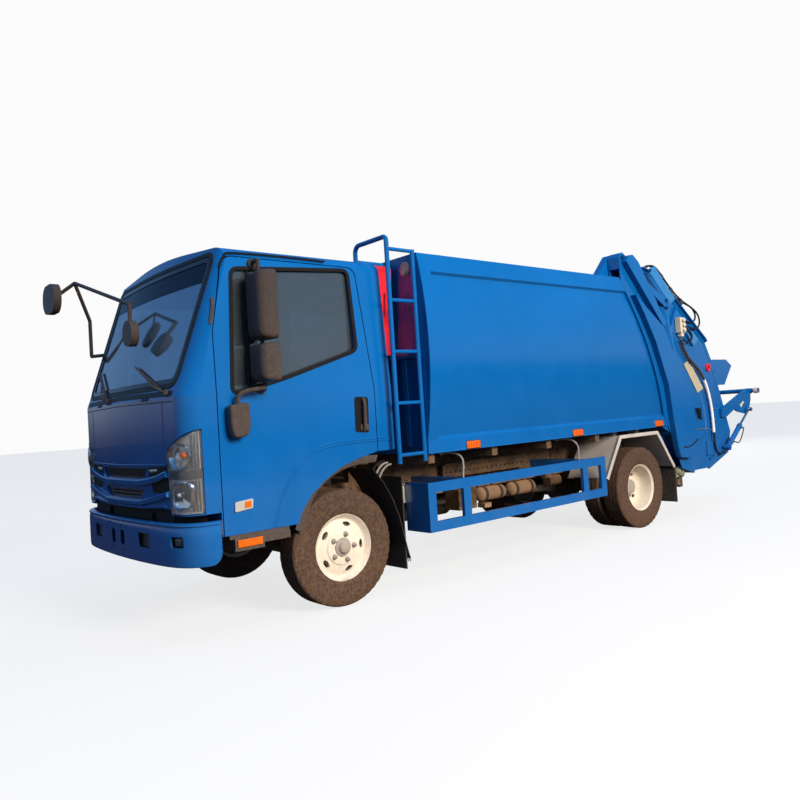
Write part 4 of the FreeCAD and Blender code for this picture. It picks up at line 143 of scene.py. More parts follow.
M = {
    "body_blue": finish("blue_enamel", (0.0004, 0.1, 0.335), 0.22, (0.07, 1.2), (0.012, 9), (0.05, 0.35, 1.1),
                        coat=0.5, uneven=0.05),
    "dark_blue": finish("dark_blue_enamel", (0.003, 0.03, 0.12), 0.25, (0.1, 3), (0.02, 60), (0.05, 0.4, 1.4),
                        coat=0.5),
    "light_blue": finish("light_blue_enamel", (0.02, 0.17, 0.42), 0.3, (0.06, 4), (0.02, 60), (0.1, 1.5, 2.6),
                         coat=0.4),
    "frame_paint": finish("frame_paint", (0.05, 0.036, 0.026), 0.55, (0.25, 5), (0.15, 40),
                          (0.75, 0.4, 1.3, (0.26, 0.155, 0.08))),
    "axle_iron": finish("axle_iron", (0.05, 0.045, 0.042), 0.6, (0.3, 8), (0.3, 50),
                        (0.5, 0.2, 0.7, (0.25, 0.2, 0.16)),
                        metal=0.2),
    "tyre": finish("tyre_rubber", (0.022, 0.02, 0.019), 0.78, (0.2, 14), (0.2, 90),
                   (0.62, 0.0, 2.2, (0.17, 0.095, 0.055)), uneven=0.08),
    "wheel_paint": finish("wheel_cream", (0.74, 0.66, 0.54), 0.35, (0.06, 9), (0.08, 60),
                          (0.3, 0.1, 0.75, (0.33, 0.27, 0.21))),
    "glass": finish("tinted_glass", (0.34, 0.42, 0.46), 0.03, (0.03, 1), metal=0.2, glass=0.9, uneven=0.015),
    "black_plastic": finish("black_plastic", (0.04, 0.03, 0.025), 0.42, (0.15, 20), (0.2, 400),
                            (0.2, 0.3, 2.2)),
    "lamp_clear": finish("lamp_clear", (0.58, 0.57, 0.55), 0.12, (0.05, 20), (0.05, 60), metal=0.35),
    "amber": finish("amber_lens", (0.6, 0.12, 0.008), 0.15, (0.08, 30), (0.3, 250), coat=0.5),
    "red_lens": finish("red_lens", (0.55, 0.02, 0.02), 0.15, (0.08, 30), (0.3, 250), coat=0.5),
    "red_paint": finish("red_enamel", (0.62, 0.02, 0.03), 0.3, (0.08, 4), (0.03, 60), coat=0.4),
    "fender_grey": finish("fender_grey", (0.46, 0.42, 0.38), 0.45, (0.12, 6), (0.1, 60),
                          (0.25, 0.4, 1, (0.3, 0.25, 0.2))),
    "rubber": finish("flap_rubber", (0.02, 0.018, 0.018), 0.7, (0.2, 12), (0.2, 60),
                     (0.3, 0.1, 0.9, (0.2, 0.16, 0.13))),
    "rod_steel": finish("rod_chrome", (0.72, 0.72, 0.72), 0.16, (0.04, 30), (0.03, 60), metal=1),
    "seat_fabric": finish("seat_cloth", (0.06, 0.06, 0.065), 0.9, (0.2, 60), (0.5, 900)),
    "engine_metal": finish("engine_metal", (0.14, 0.13, 0.12), 0.6, (0.25, 9), (0.4, 30), (0.4, 0.3, 0.9),
                           metal=0.5),
    "tank_metal": finish("tank_metal", (0.42, 0.38, 0.32), 0.5, (0.15, 6), (0.1, 60),
                         (0.35, 0.3, 0.8, (0.3, 0.24, 0.18)),
                         metal=0.3),
    "cream": finish("cream_paint", (0.62, 0.55, 0.42), 0.5, (0.1, 10), (0.1, 60), (0.2, 0.4, 2.2)),
    "white": finish("white_plastic", (0.75, 0.76, 0.78), 0.35, (0.04, 14), (0.04, 60)),
    "seal": finish("seal_rubber", (0.012, 0.011, 0.011), 0.5, (0.15, 30), (0.1, 60)),
    "mirror": finish("mirror_glass", (0.8, 0.82, 0.84), 0.03, (0.01, 2), metal=1, uneven=0.01),
    "brown_plastic": finish("brown_plastic", (0.05, 0.036, 0.03), 0.5, (0.15, 20), (0.2, 300),
                            (0.15, 0.3, 2.2)),
    "hub_metal": finish("hub_grey", (0.5, 0.44, 0.37), 0.45, (0.12, 14), (0.25, 60),
                        (0.35, 0.1, 0.7, (0.28, 0.22, 0.17)),
                        metal=0.35),
    "frit": finish("screen_frit", (0.01, 0.01, 0.012), 0.12, (0.1, 20)),
    "sun_band": finish("screen_sun_band", (0.02, 0.05, 0.09), 0.06, (0.05, 2), glass=0.6),
    "chrome": finish("bright_chrome", (0.72, 0.73, 0.75), 0.12, (0.03, 30), (0.02, 60), metal=1),
    # black_void: near black, painted shade laid in recesses, holes, slots and gaps that are only dark from
    # shade
    "black_void": finish("painted_shade_black", (0.006, 0.006, 0.007), 0.7, (0.2, 20), (0.1, 60)),
    "screen_glass": finish("screen_glass", (0.5, 0.62, 0.72), 0.04, (0.03, 1), metal=0.42, glass=0.9,
                           uneven=0.01),
    "lamp_glass": finish("lamp_glass", (0.93, 0.95, 0.97), 0.02, (0.01, 2), glass=0.96, uneven=0.01),
    "lamp_bright": finish("lamp_reflector", (0.66, 0.63, 0.58), 0.22, (0.15, 18), (0.1, 120), metal=0.7),
    "lamp_band": finish("lamp_band", (0.13, 0.125, 0.12), 0.25, (0.1, 40), (0.1, 60), metal=0.5),
    "fog_glass": finish("fog_glass", (0.05, 0.06, 0.075), 0.08, (0.2, 40), (0.05, 60), coat=0.6),
    "cab_trim": finish("cab_lining", (0.035, 0.035, 0.038), 0.7, (0.15, 20), (0.15, 300)),
    "zinc": finish("zinc_plate", (0.4, 0.38, 0.33), 0.38, (0.15, 30), (0.1, 60), metal=0.8),
    "tan_paint": finish("tan_paint", (0.42, 0.24, 0.13), 0.5, (0.15, 8), (0.1, 60),
                        (0.3, 0.3, 0.8, (0.3, 0.22, 0.15))),
    "beige_plate": finish("beige_plate", (0.42, 0.38, 0.27), 0.55, (0.1, 9), (0.1, 60), (0.1, 0.2, 1)),
    "dull_lamp": finish("dull_lamp_glass", (0.22, 0.24, 0.16), 0.3, (0.3, 25), (0.2, 60), (0.3, 0.3, 0.6),
                        metal=0.2),
    "grey_hose": finish("grey_hose", (0.3, 0.29, 0.28), 0.5, (0.12, 12), (0.1, 60), (0.2, 0.2, 1)),
    "black_hose": finish("black_hose", (0.018, 0.017, 0.017), 0.42, (0.15, 25), (0.25, 300)),
}

slot_of = {row["node"]: row.get("material_slot") for row in frame["record"]["subparts"]}
for name, thing in nodes.items():
    chosen = M["screen_glass"] if name == "cab_glass" else M.get(slot_of.get(name), M["body_blue"])
    thing.data.materials.clear()
    thing.data.materials.append(chosen)


# Places on the cab

def P(x, y, z):
    """A place from millimetres counted sideways, behind the front axle and up."""
    return Vector((x / 1000, y / 1000 + FRONT_AXLE, z / 1000))


CAB_HALF, CAB_FRONT, CAB_BELT = 905, -1118, 1430
CAB_LEAN, LEAN_HIGH = 30, 892
BOW, CROWN, CORNER = 60, 6500, 130
SCREEN_SLOPE = 326 / 962
BOW_TURN = math.atan(BOW / CAB_HALF)
CORNER_BACK = BOW + CORNER * math.tan((math.pi / 2 - BOW_TURN) / 2)


def plan_front(x):
    """How far the crowned cab front lies behind its foremost line at a sideways place."""
    x = abs(x)
    if x < CROWN * math.tan(BOW_TURN):
        return CROWN / math.cos(BOW_TURN) - math.sqrt(CROWN ** 2 - x ** 2)
    if x > CAB_HALF - CORNER + CORNER * math.sin(BOW_TURN):
        return CORNER_BACK - math.sqrt(max(0, CORNER ** 2 - (x - CAB_HALF + CORNER) ** 2))
    return x * BOW / CAB_HALF


def front_line(z):
    """Where the cab's foremost line is at a height."""
    return CAB_FRONT + max(0, z - CAB_BELT) * SCREEN_SLOPE


def on_front(x, z, out=0):
    """A place on the cab's front, standing out by a distance."""
    return P(x, front_line(z) + plan_front(x) - out, z)


def side_half(z):
    """The cab's half width at a height."""
    return CAB_HALF - CAB_LEAN * max(0, z - CAB_BELT) / LEAN_HIGH


def on_side(y, z, out=0, hand=1):
    """A place on the cab's side, its corner included."""
    half = side_half(z)
    back = CORNER_BACK + front_line(z) - y
    if back > 0:
        half = min(half, CAB_HALF - CORNER + math.sqrt(max(0, CORNER ** 2 - back ** 2)))
    return P((half + out) * hand, y, z)


def normals_front(flat):
    """Outward normals of the cab's front at flat places of x and z."""
    found = []
    for x, z in flat:
        here = on_front(x, z)
        n = (on_front(x + 2, z) - here).cross(on_front(x, z + 2) - here)
        found.append(n.normalized() if n.y < 0 else -n.normalized())
    return found


# Lines of places

def ways(points, closed=False):
    """The direction of a line at each of its places."""
    out = []
    for i, p in enumerate(points):
        ahead = points[(i + 1) % len(points)] if closed or i < len(points) - 1 else p
        behind = points[i - 1] if closed or i else p
        out.append((ahead - behind).normalized())
    return out


def smooth_path(points, steps):
    """A curve through places, rounded between them."""
    points = [Vector(p) for p in points]
    out = []
    for p0, p1, p2, p3 in zip(points[:1] + points, points, points[1:], points[2:] + points[-1:]):
        for t in (k / steps for k in range(steps)):
            out.append(0.5 * (2 * p1 + (p2 - p0) * t + (2 * p0 - 5 * p1 + 4 * p2 - p3) * t * t
                              + (3 * p1 - p0 - 3 * p2 + p3) * t ** 3))
    return out + points[-1:]


def round_corners(points, radius, steps=6):
    """A closed flat outline with each corner rounded by an arc."""
    points = [Vector(p) for p in points]
    out = []
    for i, p in enumerate(points):
        a, b = points[i - 1] - p, points[(i + 1) % len(points)] - p
        reach = min(radius[i] if isinstance(radius, list) else radius, a.length * 0.48, b.length * 0.48)
        start, end = p + a.normalized() * reach, p + b.normalized() * reach
        out += [start * (1 - t) ** 2 + p * 2 * t * (1 - t) + end * t ** 2
                for t in (k / steps for k in range(steps + 1))]
    return out


def dense(points, step, closed=True):
    """Places added along straight runs so that no gap is longer than a step."""
    points = [Vector(p) for p in points]
    out = []
    for a, b in zip(points, points[1:] + points[:1] * closed):
        n = max(1, int((b - a).length / step))
        out += [a.lerp(b, k / n) for k in range(n)]
    return out if closed else out + points[-1:]


def around(count, radius, start=0.0):
    """Offsets of y and z evenly round a circle."""
    turns = [start + 2 * math.pi * k / count for k in range(count)]
    return [Vector((radius * math.sin(t), radius * math.cos(t))) for t in turns]


def rectangle(x0, z0, x1, z1):
    """A flat rectangle's corners."""
    return [(x0, z0), (x1, z0), (x1, z1), (x0, z1)]


def round_edges(thing, width, segments=2, from_deg=30):
    """Rounds a mesh's sharp edges by a width in millimetres."""
    cut = thing.modifiers.new("edges", "BEVEL")
    cut.width = width * MM
    cut.segments = segments
    cut.limit_method = "ANGLE"
    cut.angle_limit = math.radians(from_deg)
    cut.use_clamp_overlap = True


def both(build):
    """Builds something on the left and on the right."""
    for hand in (1, -1):
        build(hand)
    return build


class Piece:
    """A mesh that rides on a body. Sizes are in millimetres; places are Vectors, or mm toward its hand."""

    def __init__(self, name, body, material, hand=1):
        self.hand = hand
        self.name, self.body = self.worded(name), self.worded(body)
        self.material = material
        self.bm = bmesh.new()

    def worded(self, name):
        """A name with its star replaced by the piece's hand."""
        return name.replace("*", "left" if self.hand > 0 else "right")

    def place(self, p):
        """A place as a Vector."""
        return p if isinstance(p, Vector) else P(p[0] * self.hand, p[1], p[2])

    def beside(self, flat, out=0):
        """Flat places of y and z as places on the cab's side."""
        return [on_side(y, z, out, self.hand) for y, z in flat]

    def grid(self, rows, close_u=False, close_v=False, caps=False):
        """A surface through rows of places."""
        verts = [[self.bm.verts.new(self.place(p)) for p in row] for row in rows]
        n, m = len(verts), len(verts[0])
        for i in range(n if close_u else n - 1):
            for j in range(m if close_v else m - 1):
                self.bm.faces.new((verts[i][j], verts[i][(j + 1) % m],
                                   verts[(i + 1) % n][(j + 1) % m], verts[(i + 1) % n][j]))
        if caps:
            self.bm.faces.new(verts[0][::-1])
            self.bm.faces.new(verts[-1])
        return self

    def box(self, low, high, turn=None, about=None):
        """A box between two corners, turned about a place if asked."""
        (x0, y0, z0), (x1, y1, z1) = self.place(low), self.place(high)
        corners = [Vector((x, y, z)) for x in (x0, x1) for y in (y0, y1) for z in (z0, z1)]
        if turn:
            about = self.place(about)
            corners = [about + turn @ (c - about) for c in corners]
        verts = [self.bm.verts.new(c) for c in corners]
        for face in ((0, 1, 3, 2), (4, 6, 7, 5), (0, 4, 5, 1), (2, 3, 7, 6), (0, 2, 6, 4), (1, 5, 7, 3)):
            self.bm.faces.new([verts[i] for i in face])
        return self

    def tube(self, points, radius, sides=10, steps=0):
        """A round tube through places, on a smooth curve if it has steps."""
        points = [self.place(p) for p in points]
        if steps:
            points = smooth_path(points, steps)
        normal = ways(points)[0].orthogonal()
        rows = []
        for p, way in zip(points, ways(points)):
            normal = (normal - way * normal.dot(way)).normalized()
            other = way.cross(normal)
            rows.append([p + (normal * c + other * s) * MM for s, c in around(sides, radius)])
        return self.grid(rows, close_v=True, caps=True)

    def rod(self, a, b, radius, sides=16):
        """A round bar between two places."""
        return self.tube([a, b], radius, sides)

    def lathe(self, profile, centre, axis=None, steps=48, closed=True):
        """A profile of distances along an axis and radii, turned about it; with no axis given, about X."""
        centre = self.place(centre)
        axis = (axis or X * self.hand).normalized()
        normal = axis.orthogonal().normalized()
        other = axis.cross(normal)
        rows = [[centre + (axis * a + (normal * c + other * s) * max(r, 0.05)) * MM for a, r in profile]
                for s, c in around(steps, 1)]
        return self.grid(rows, close_u=True, close_v=closed)

    def prism(self, outline, start, end):
        """An outline of places moved from one offset to another."""
        return self.grid([[p + start for p in outline], [p + end for p in outline]], close_v=True, caps=True)

    def slab(self, outline, thick):
        """A plate that stands out sideways from an outline of places."""
        return self.prism(outline, X * 0, X * self.hand * thick * MM)

    def plate(self, x, flat, thick, corner=0):
        """A plate of flat places of y and z at a sideways place, with rounded corners."""
        flat = round_corners(flat, corner) if corner else flat
        return self.slab([self.place((x, y, z)) for y, z in flat], thick)

    def strip(self, points, wide, tall, sink=2, normals=None, closed=False):
        """A flat strip along places on a surface, standing out along their normals or sideways."""
        points = [self.place(p) for p in points]
        normals = normals or [X * self.hand] * len(points)
        rows = []
        for p, n, way in zip(points, normals, ways(points, closed)):
            across = n.cross(way).normalized() * wide / 2
            section = ((-1, -sink), (-0.92, tall * 0.75), (-0.55, tall), (0.55, tall), (0.92, tall * 0.75),
                       (1, -sink))
            rows.append([p + (across * a + n.normalized() * b) * MM for a, b in section])
        return self.grid(rows, close_u=closed, close_v=True, caps=not closed)

    def front_strip(self, flat, wide, tall, sink=2, closed=False):
        """A strip on the cab's front along flat places of x and z."""
        return self.strip([on_front(x, z) for x, z in flat], wide, tall, sink, normals_front(flat), closed)

    def made(self):
        """The piece as a mesh object."""
        bmesh.ops.recalc_face_normals(self.bm, faces=self.bm.faces)
        mesh = bpy.data.meshes.new(self.name)
        self.bm.to_mesh(mesh)
        self.bm.free()
        return link(self.name, mesh)

    def done(self, smooth=35, bevel=0, segments=2, replaces=None):
        """Makes the object, shades it, lets it ride and stand for a node."""
        thing = self.made()
        thing.data.materials.append(M[self.material])
        if bevel:
            round_edges(thing, bevel, segments)
        thing.data.shade_smooth()
        thing.data.set_sharp_from_angle(angle=math.radians(smooth))
        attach(thing, self.body)
        if replaces:
            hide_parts(self.worded(replaces))
        return thing


def carve(thing, cutters):
    """Cuts closed meshes out of another, then drops them."""
    for cutter in cutters:
        step = thing.modifiers.new("hole", "BOOLEAN")
        step.operation = "DIFFERENCE"
        step.solver = "EXACT"
        step.object = cutter
    bpy.context.view_layer.update()
    thing.data = bpy.data.meshes.new_from_object(thing.evaluated_get(bpy.context.evaluated_depsgraph_get()))
    thing.modifiers.clear()
    thing.data.shade_smooth()
    thing.data.set_sharp_from_angle(angle=math.radians(35))
    for cutter in cutters:
        bpy.data.objects.remove(cutter)


# Tyres and wheels

TYRE_R = 387
FRONT_WHEEL, REAR_WHEEL = 768, 751


def tyre_rows(centre_x, axle_y, steps):
    """A tyre's places: rounded walls, a shoulder step and four zigzag grooves in the tread."""
    wall = [(-70, 210), (-84, 216), (-95, 236), (-99.2, 262), (-99.4, 290), (-97.2, 318), (-97.6, 321),
            (-94.5, 345), (-93.4, 352), (-91, 366), (-88.5, 376), (-84, 382.5)]
    tread = []
    for middle in (-54, -19, 19, 54):
        edge = 386.2 - abs(middle) * 0.02
        tread += [(middle - 5.7, edge), (middle - 4.5, 375), (middle + 4.5, 375), (middle + 5.7, edge)]
    profile = wall + [(-76, 385.2)] + tread + [(76, 385.2)] + [(-a, r) for a, r in reversed(wall)]
    rows = []
    for k, (dy, dz) in enumerate(around(steps, 1)):
        row = []
        for a, r in profile:
            if 10 < abs(a) < 66 and r > 370:
                a += 2.2 * (1 if k % 4 < 2 else -1)
            if 84 <= abs(a) < 96 and r > 350 and k % 3 == 0:
                r -= 5
            row.append(P(centre_x + a, axle_y + r * dy, TYRE_R + r * dz))
        rows.append(row)
    return rows


def hand_holes(disc, middle, axle_y, radius, count, wide, tall, start):
    """Oval hand holes through a wheel disc."""
    cutters = []
    for y, z in around(count, 1, start):
        out, beside = Vector((0, y, z)), Vector((0, z, -y))
        centre = P(middle, axle_y, TYRE_R) + out * radius * MM
        ring = [centre + (beside * wide * c + out * tall * s) * MM for s, c in around(20, 1)]
        cutters.append(Piece("cutter", "root", "seal").prism(ring, X * -0.12, X * 0.12).made())
    carve(disc, cutters)


def nuts(piece, face_x, axle_y, circle, start):
    """Five studs with washers and nuts round a hub."""
    for dy, dz in around(5, circle, start):
        spot = (face_x, axle_y + dy, TYRE_R + dz)
        piece.lathe([(-4, 0), (-4, 19), (3, 18), (4, 0)], spot, steps=16)
        piece.lathe([(0, 0), (0, 15.5), (17, 14.8), (20, 11), (20, 0)], spot, steps=6)
        piece.lathe([(18, 0), (18, 8.5), (30, 8), (32, 6), (32, 0)], spot, steps=12)


FRONT_DISC = [(83, 225), (86, 222), (86, 217), (80, 214), (70, 203), (60, 197), (52, 190), (49, 184),
              (52, 172), (58, 160), (61, 148), (61, 122), (63, 118), (70, 114), (72, 106), (72, 62), (66, 58),
              (48, 58), (48, 110), (42, 150), (30, 180), (20, 190), (-80, 196), (-86, 218), (-86, 226),
              (-80, 226), (-70, 205), (20, 199), (60, 204), (72, 215), (78, 225)]
DRUM = [(-30, 0), (-30, 150), (6, 152), (10, 168), (24, 168), (28, 150), (28, 0)]
FRONT_HUB = [(30, 0), (30, 62), (78, 60), (80, 56), (82, 40), (98, 37), (104, 32), (107, 22), (108, 0)]


@both
def front_wheel(hand):
    """A front tyre on its disc, with drum, hub and balance weight."""
    spin, spot = "wheel_front_*", (FRONT_WHEEL, 0, TYRE_R)
    tyre = Piece("tyre_front_*_tread", spin, "tyre", hand)
    tyre.grid(tyre_rows(FRONT_WHEEL * hand, 0, 132), close_u=True, close_v=True)
    tyre.done(28, replaces="tyre_front_*")
    disc = Piece("wheel_disc_front_*", spin, "wheel_paint", hand).lathe(FRONT_DISC, spot, steps=96)
    hand_holes(disc.done(30, replaces="rim_front_*"), FRONT_WHEEL * hand, 0, 155, 5, 31, 16, 0.32)
    Piece("brake_drum_front_*", spin, "axle_iron", hand).lathe(DRUM, spot).done(30)
    hub = Piece("hub_front_*", spin, "hub_metal", hand).lathe(FRONT_HUB, spot, steps=40)
    nuts(hub, FRONT_WHEEL + 72, 0, 88, 0.3)
    hub.done(30)
    weight = Piece("balance_weight_*", spin, "hub_metal", hand)
    weight.box((840, -30, TYRE_R - 222), (853, 30, TYRE_R - 212)).done(bevel=2)


OUTER_DISC = [(198, 225), (201, 222), (201, 216), (195, 212), (186, 203), (120, 198), (80, 192), (64, 186),
              (46, 172), (30, 150), (22, 124), (20, 110), (20, 90), (10, 90), (10, 130), (18, 155), (34, 178),
              (50, 197), (60, 203), (100, 205), (180, 207), (192, 216), (194, 225)]
INNER_DISC = [(-198, 225), (-201, 216), (-186, 203), (-80, 198), (-50, 186), (-22, 160), (-4, 130), (-4, 90),
              (2, 90), (2, 132), (-12, 165), (-40, 192), (-70, 205), (-180, 207), (-194, 225)]
REAR_HUB = [(-30, 0), (-30, 88), (18, 88), (24, 84), (28, 74), (86, 70), (92, 64), (95, 50), (96, 0)]


@both
def rear_wheels(hand):
    """Twin rear tyres on their discs, with the hub and its cap screws."""
    spin, spot = "wheel_rear_*", (REAR_WHEEL, REAR_AXLE, TYRE_R)
    twin = Piece("tyres_rear_*_tread", spin, "tyre", hand)
    for middle in (866, 636):
        twin.grid(tyre_rows(middle * hand, REAR_AXLE, 120), close_u=True, close_v=True)
    twin.done(28, replaces="tyres_rear_*")
    rims = Piece("wheel_discs_rear_*", spin, "wheel_paint", hand)
    rims.lathe(OUTER_DISC, spot, steps=96).lathe(INNER_DISC, spot, steps=64)
    dish = rims.done(30, replaces="rims_rear_*")
    hand_holes(dish, REAR_WHEEL * hand, REAR_AXLE, 150, 4, 24, 14, 0.75)
    hub = Piece("hub_rear_*", spin, "hub_metal", hand).lathe(REAR_HUB, spot, steps=40)
    nuts(hub, REAR_WHEEL + 20, REAR_AXLE, 104, 0.1)
    for dy, dz in around(8, 54):
        hub.lathe([(0, 0), (0, 7), (7, 6.5), (8, 0)], (REAR_WHEEL + 92, REAR_AXLE + dy, TYRE_R + dz), steps=6)
    hub.done(30)


# Cab: screen, seams and wipers on its front

SCREEN = [(-775, 1500), (775, 1500), (800, 2290), (-800, 2290)]


def band_front(name, share, inset, radius, wide, tall, sink, material):
    """A strip round the windscreen, along its outline scaled sideways and moved inwards."""
    outline = [(x * share, z + (-inset if z > 2000 else inset)) for x, z in SCREEN]
    piece = Piece(name, "cab", material)
    piece.front_strip(dense(round_corners(outline, radius), 22), wide, tall, sink, closed=True).done(40)


def patch_front(piece, half, low, high, out, across, up):
    """A sheet on the cab's front, of a half width at each height."""
    heights = [low + (high - low) * i / up for i in range(up + 1)]
    piece.grid([[on_front(half(z) * (2 * j / across - 1), z, out) for j in range(across + 1)]
                for z in heights])
    return piece


band_front("screen_seal", 1.004, -6, 88, 30, 5, 3, "seal")
band_front("screen_black_edge", 0.965, 26, 70, 34, 1, 6, "frit")
patch_front(Piece("screen_sun_band", "cab", "sun_band"), lambda z: 741 + 25 * (z - 1500) / 790,
            2120, 2262, -4, 24, 10).done()
cowl = Piece("cowl_strip", "cab", "seal")
cowl.front_strip([(x, 1462 - abs(x) * 0.012) for x in range(-760, 761, 40)], 34, 4).done(40)
seam = Piece("front_panel_seam", "cab", "seal")
seam.front_strip([(x, 1412 - abs(x) * 0.01) for x in range(-790, 791, 40)], 6, 1.2, 1)
for middle in (-438, 412):
    seam.front_strip([(middle + dx, 1438) for dx in range(-46, 47, 23)], 32, 3, 1)
seam.done(40)
hood = Piece("front_hood_seam", "cab", "seal")
for x in (-640, 640):
    hood.front_strip([(x, z) for z in range(1130, 1411, 35)], 5, 1, 1)
hood.done(40)


def wiper(name, pivot, elbow, tip):
    """A wiper: hub, tapered arm and a long blade with its rubber."""
    piece = Piece(name, "cab", "black_plastic")
    base, knee, end = on_front(*pivot), on_front(*elbow, 34), on_front(*tip, 20)
    out = normals_front([pivot])[0]
    piece.lathe([(-4, 0), (-4, 24), (16, 21), (20, 12), (21, 0)], base, out, 20)
    piece.tube([base + out * 0.014, base.lerp(knee, 0.3) + out * 0.022, knee], 8, 8)
    piece.tube([knee, knee.lerp(end, 0.5) + out * 0.004, end], 5, 8)
    tip = Vector(tip)
    way = (tip - Vector(pivot)).normalized()
    flat = [tip + way * s for s in range(-250, 251, 25)]
    piece.strip([on_front(x, z, 7) for x, z in flat], 12, 12, 4, normals_front(flat))
    for s in (-170, -60, 60, 170):
        piece.rod(on_front(*(tip + way * s), 8), on_front(*(tip + way * s * 0.5), 24), 3.5, 6)
    piece.done(40, bevel=0.8)


wiper("wiper_right", (-235, 1452), (-330, 1496), (-480, 1575))
wiper("wiper_left", (690, 1456), (560, 1502), (380, 1568))

# Grille: recesses drawn as near-black sheets (painted shade) between folded bars, each line given on the left

GRILLE_BARS = [([(0, 925), (285, 925), (440, 938), (560, 956), (676, 984)], 42, 24),
               ([(0, 800), (300, 802), (460, 826), (560, 842), (686, 866)], 34, 24),
               ([(0, 774), (330, 776), (500, 784), (640, 792)], 20, 14)]
GRILLE_RECESSES = [([(424, 950), (560, 972), (672, 1000)], [(424, 1021), (560, 1023), (668, 1028)]),
                   ([(470, 868), (560, 866), (682, 886)], [(452, 922), (560, 936), (680, 962)])]


def between_front(piece, lines, hand, across=8):
    """A sheet on the cab's front between a lower and an upper line of places."""
    piece.grid([[on_front(x * hand, z, 1.5) for a, b in zip(line, line[1:])
                 for x, z in (Vector(a).lerp(Vector(b), k / across) for k in range(across + 1))]
                 for line in lines])


def bar_front(piece, line, wide, tall, hand=1):
    """A bar along a line of places on the cab's front."""
    piece.front_strip(dense([(x * hand, z) for x, z in line], 30, closed=False), wide, tall)


# The recess sheets stand just proud of the cab front in near black: painted shade.
recess = Piece("grille_recess", "cab", "black_void")
bars = Piece("grille_bars", "cab", "body_blue")
marks = Piece("grille_lamps", "cab", "lamp_bright")
for hand in (1, -1):
    for lines in GRILLE_RECESSES:
        between_front(recess, lines, hand)
    for line, wide, tall in GRILLE_BARS:
        bar_front(bars, line, wide, tall, hand)
    bar_front(marks, [(440, 998), (540, 1002)], 18, 5, hand)
bar_front(bars, [(-668, 1036), (0, 1030), (668, 1036)], 10, 8)
recess.done()
bars.done(25)
marks.done(40)
# A near-black sheet behind the grille's openings: painted shade.
backing = Piece("grille_backing", "cab", "black_void")
for low, high, half in ((942, 1022, 410), (818, 892, 372)):
    patch_front(backing, lambda z: half, low, high, -41, 20, 2)
backing.done()

# Headlamps: a bright housing under a clear lens, with a projector above and a bowl below

LAMP_END = 947


def lamp_inner(z):
    """The headlamp's inner edge at a height."""
    return 704 - (z - 752) * 40 / 364 if z < 1119 else 664 + (z - 1119) * 2.28


def lamp_place(along, z, out, hand):
    """A place on the headlamp, counted along the cab's front and on round its corner."""
    if along < CAB_HALF - CORNER:
        return on_front(along * hand, z, out)
    turn = BOW_TURN + (along - CAB_HALF + CORNER) / CORNER
    return P((CAB_HALF - CORNER + (CORNER + out) * math.sin(turn)) * hand,
             CAB_FRONT + CORNER_BACK - (CORNER + out) * math.cos(turn), z)


def lamp_grid(out, hand, low=753, high=1231, trim=5):
    """Places over one headlamp, from its inner edge round to the cab's side."""
    return [[lamp_place(a + (LAMP_END - trim - a) * j / 16, z, out, hand) for j in range(17)]
            for z in (low + (high - low) * i / 24 for i in range(25))
            for a in (lamp_inner(z) + trim,)]


def rim_of(rows):
    """The places round the edge of a grid."""
    return rows[0] + [r[-1] for r in rows[1:]] + rows[-1][-2::-1] + [r[0] for r in rows[-2:0:-1]]


@both
def headlamp_case(hand):
    """The clear lens, its housing and the dark band across it."""
    Piece("headlamp_lens_*", "cab", "lamp_glass", hand).grid(lamp_grid(3, hand)).done(50, replaces="headlamps")
    house = Piece("headlamp_housing_*", "cab", "lamp_bright", hand).grid(lamp_grid(-24, hand))
    house.grid([rim_of(lamp_grid(2, hand, trim=2)), rim_of(lamp_grid(-24, hand, trim=2))],
               close_v=True).done(40)
    inner, outer = lamp_grid(-22, hand, 948, 1004, 4), lamp_grid(-6, hand, 952, 1000, 4)
    ledge = Piece("headlamp_band_*", "cab", "lamp_band", hand)
    ledge.grid([inner[0], outer[0], outer[-1], inner[-1]]).done(50)
    ribs = Piece("headlamp_ribs_*", "cab", "chrome", hand)
    for along in (884, 904, 924):
        out = (lamp_place(along, 800, 0, hand) - lamp_place(along, 800, -20, hand)).normalized()
        for low, high in ((764, 940), (1010, 1105 + (along - 664) / 2.28)):
            line = [lamp_place(along, low + (high - low) * k / 10, -20, hand) for k in range(11)]
            ribs.strip(line, 10, 8, 4, [out] * 11)
    for k in range(4):
        spot = on_front((712 + k * 22) * hand, 962, -8)
        ribs.box(spot - Vector((0.004, 0.004, 0.005)), spot + Vector((0.004, 0.003, 0.005)))
    ribs.done(50)


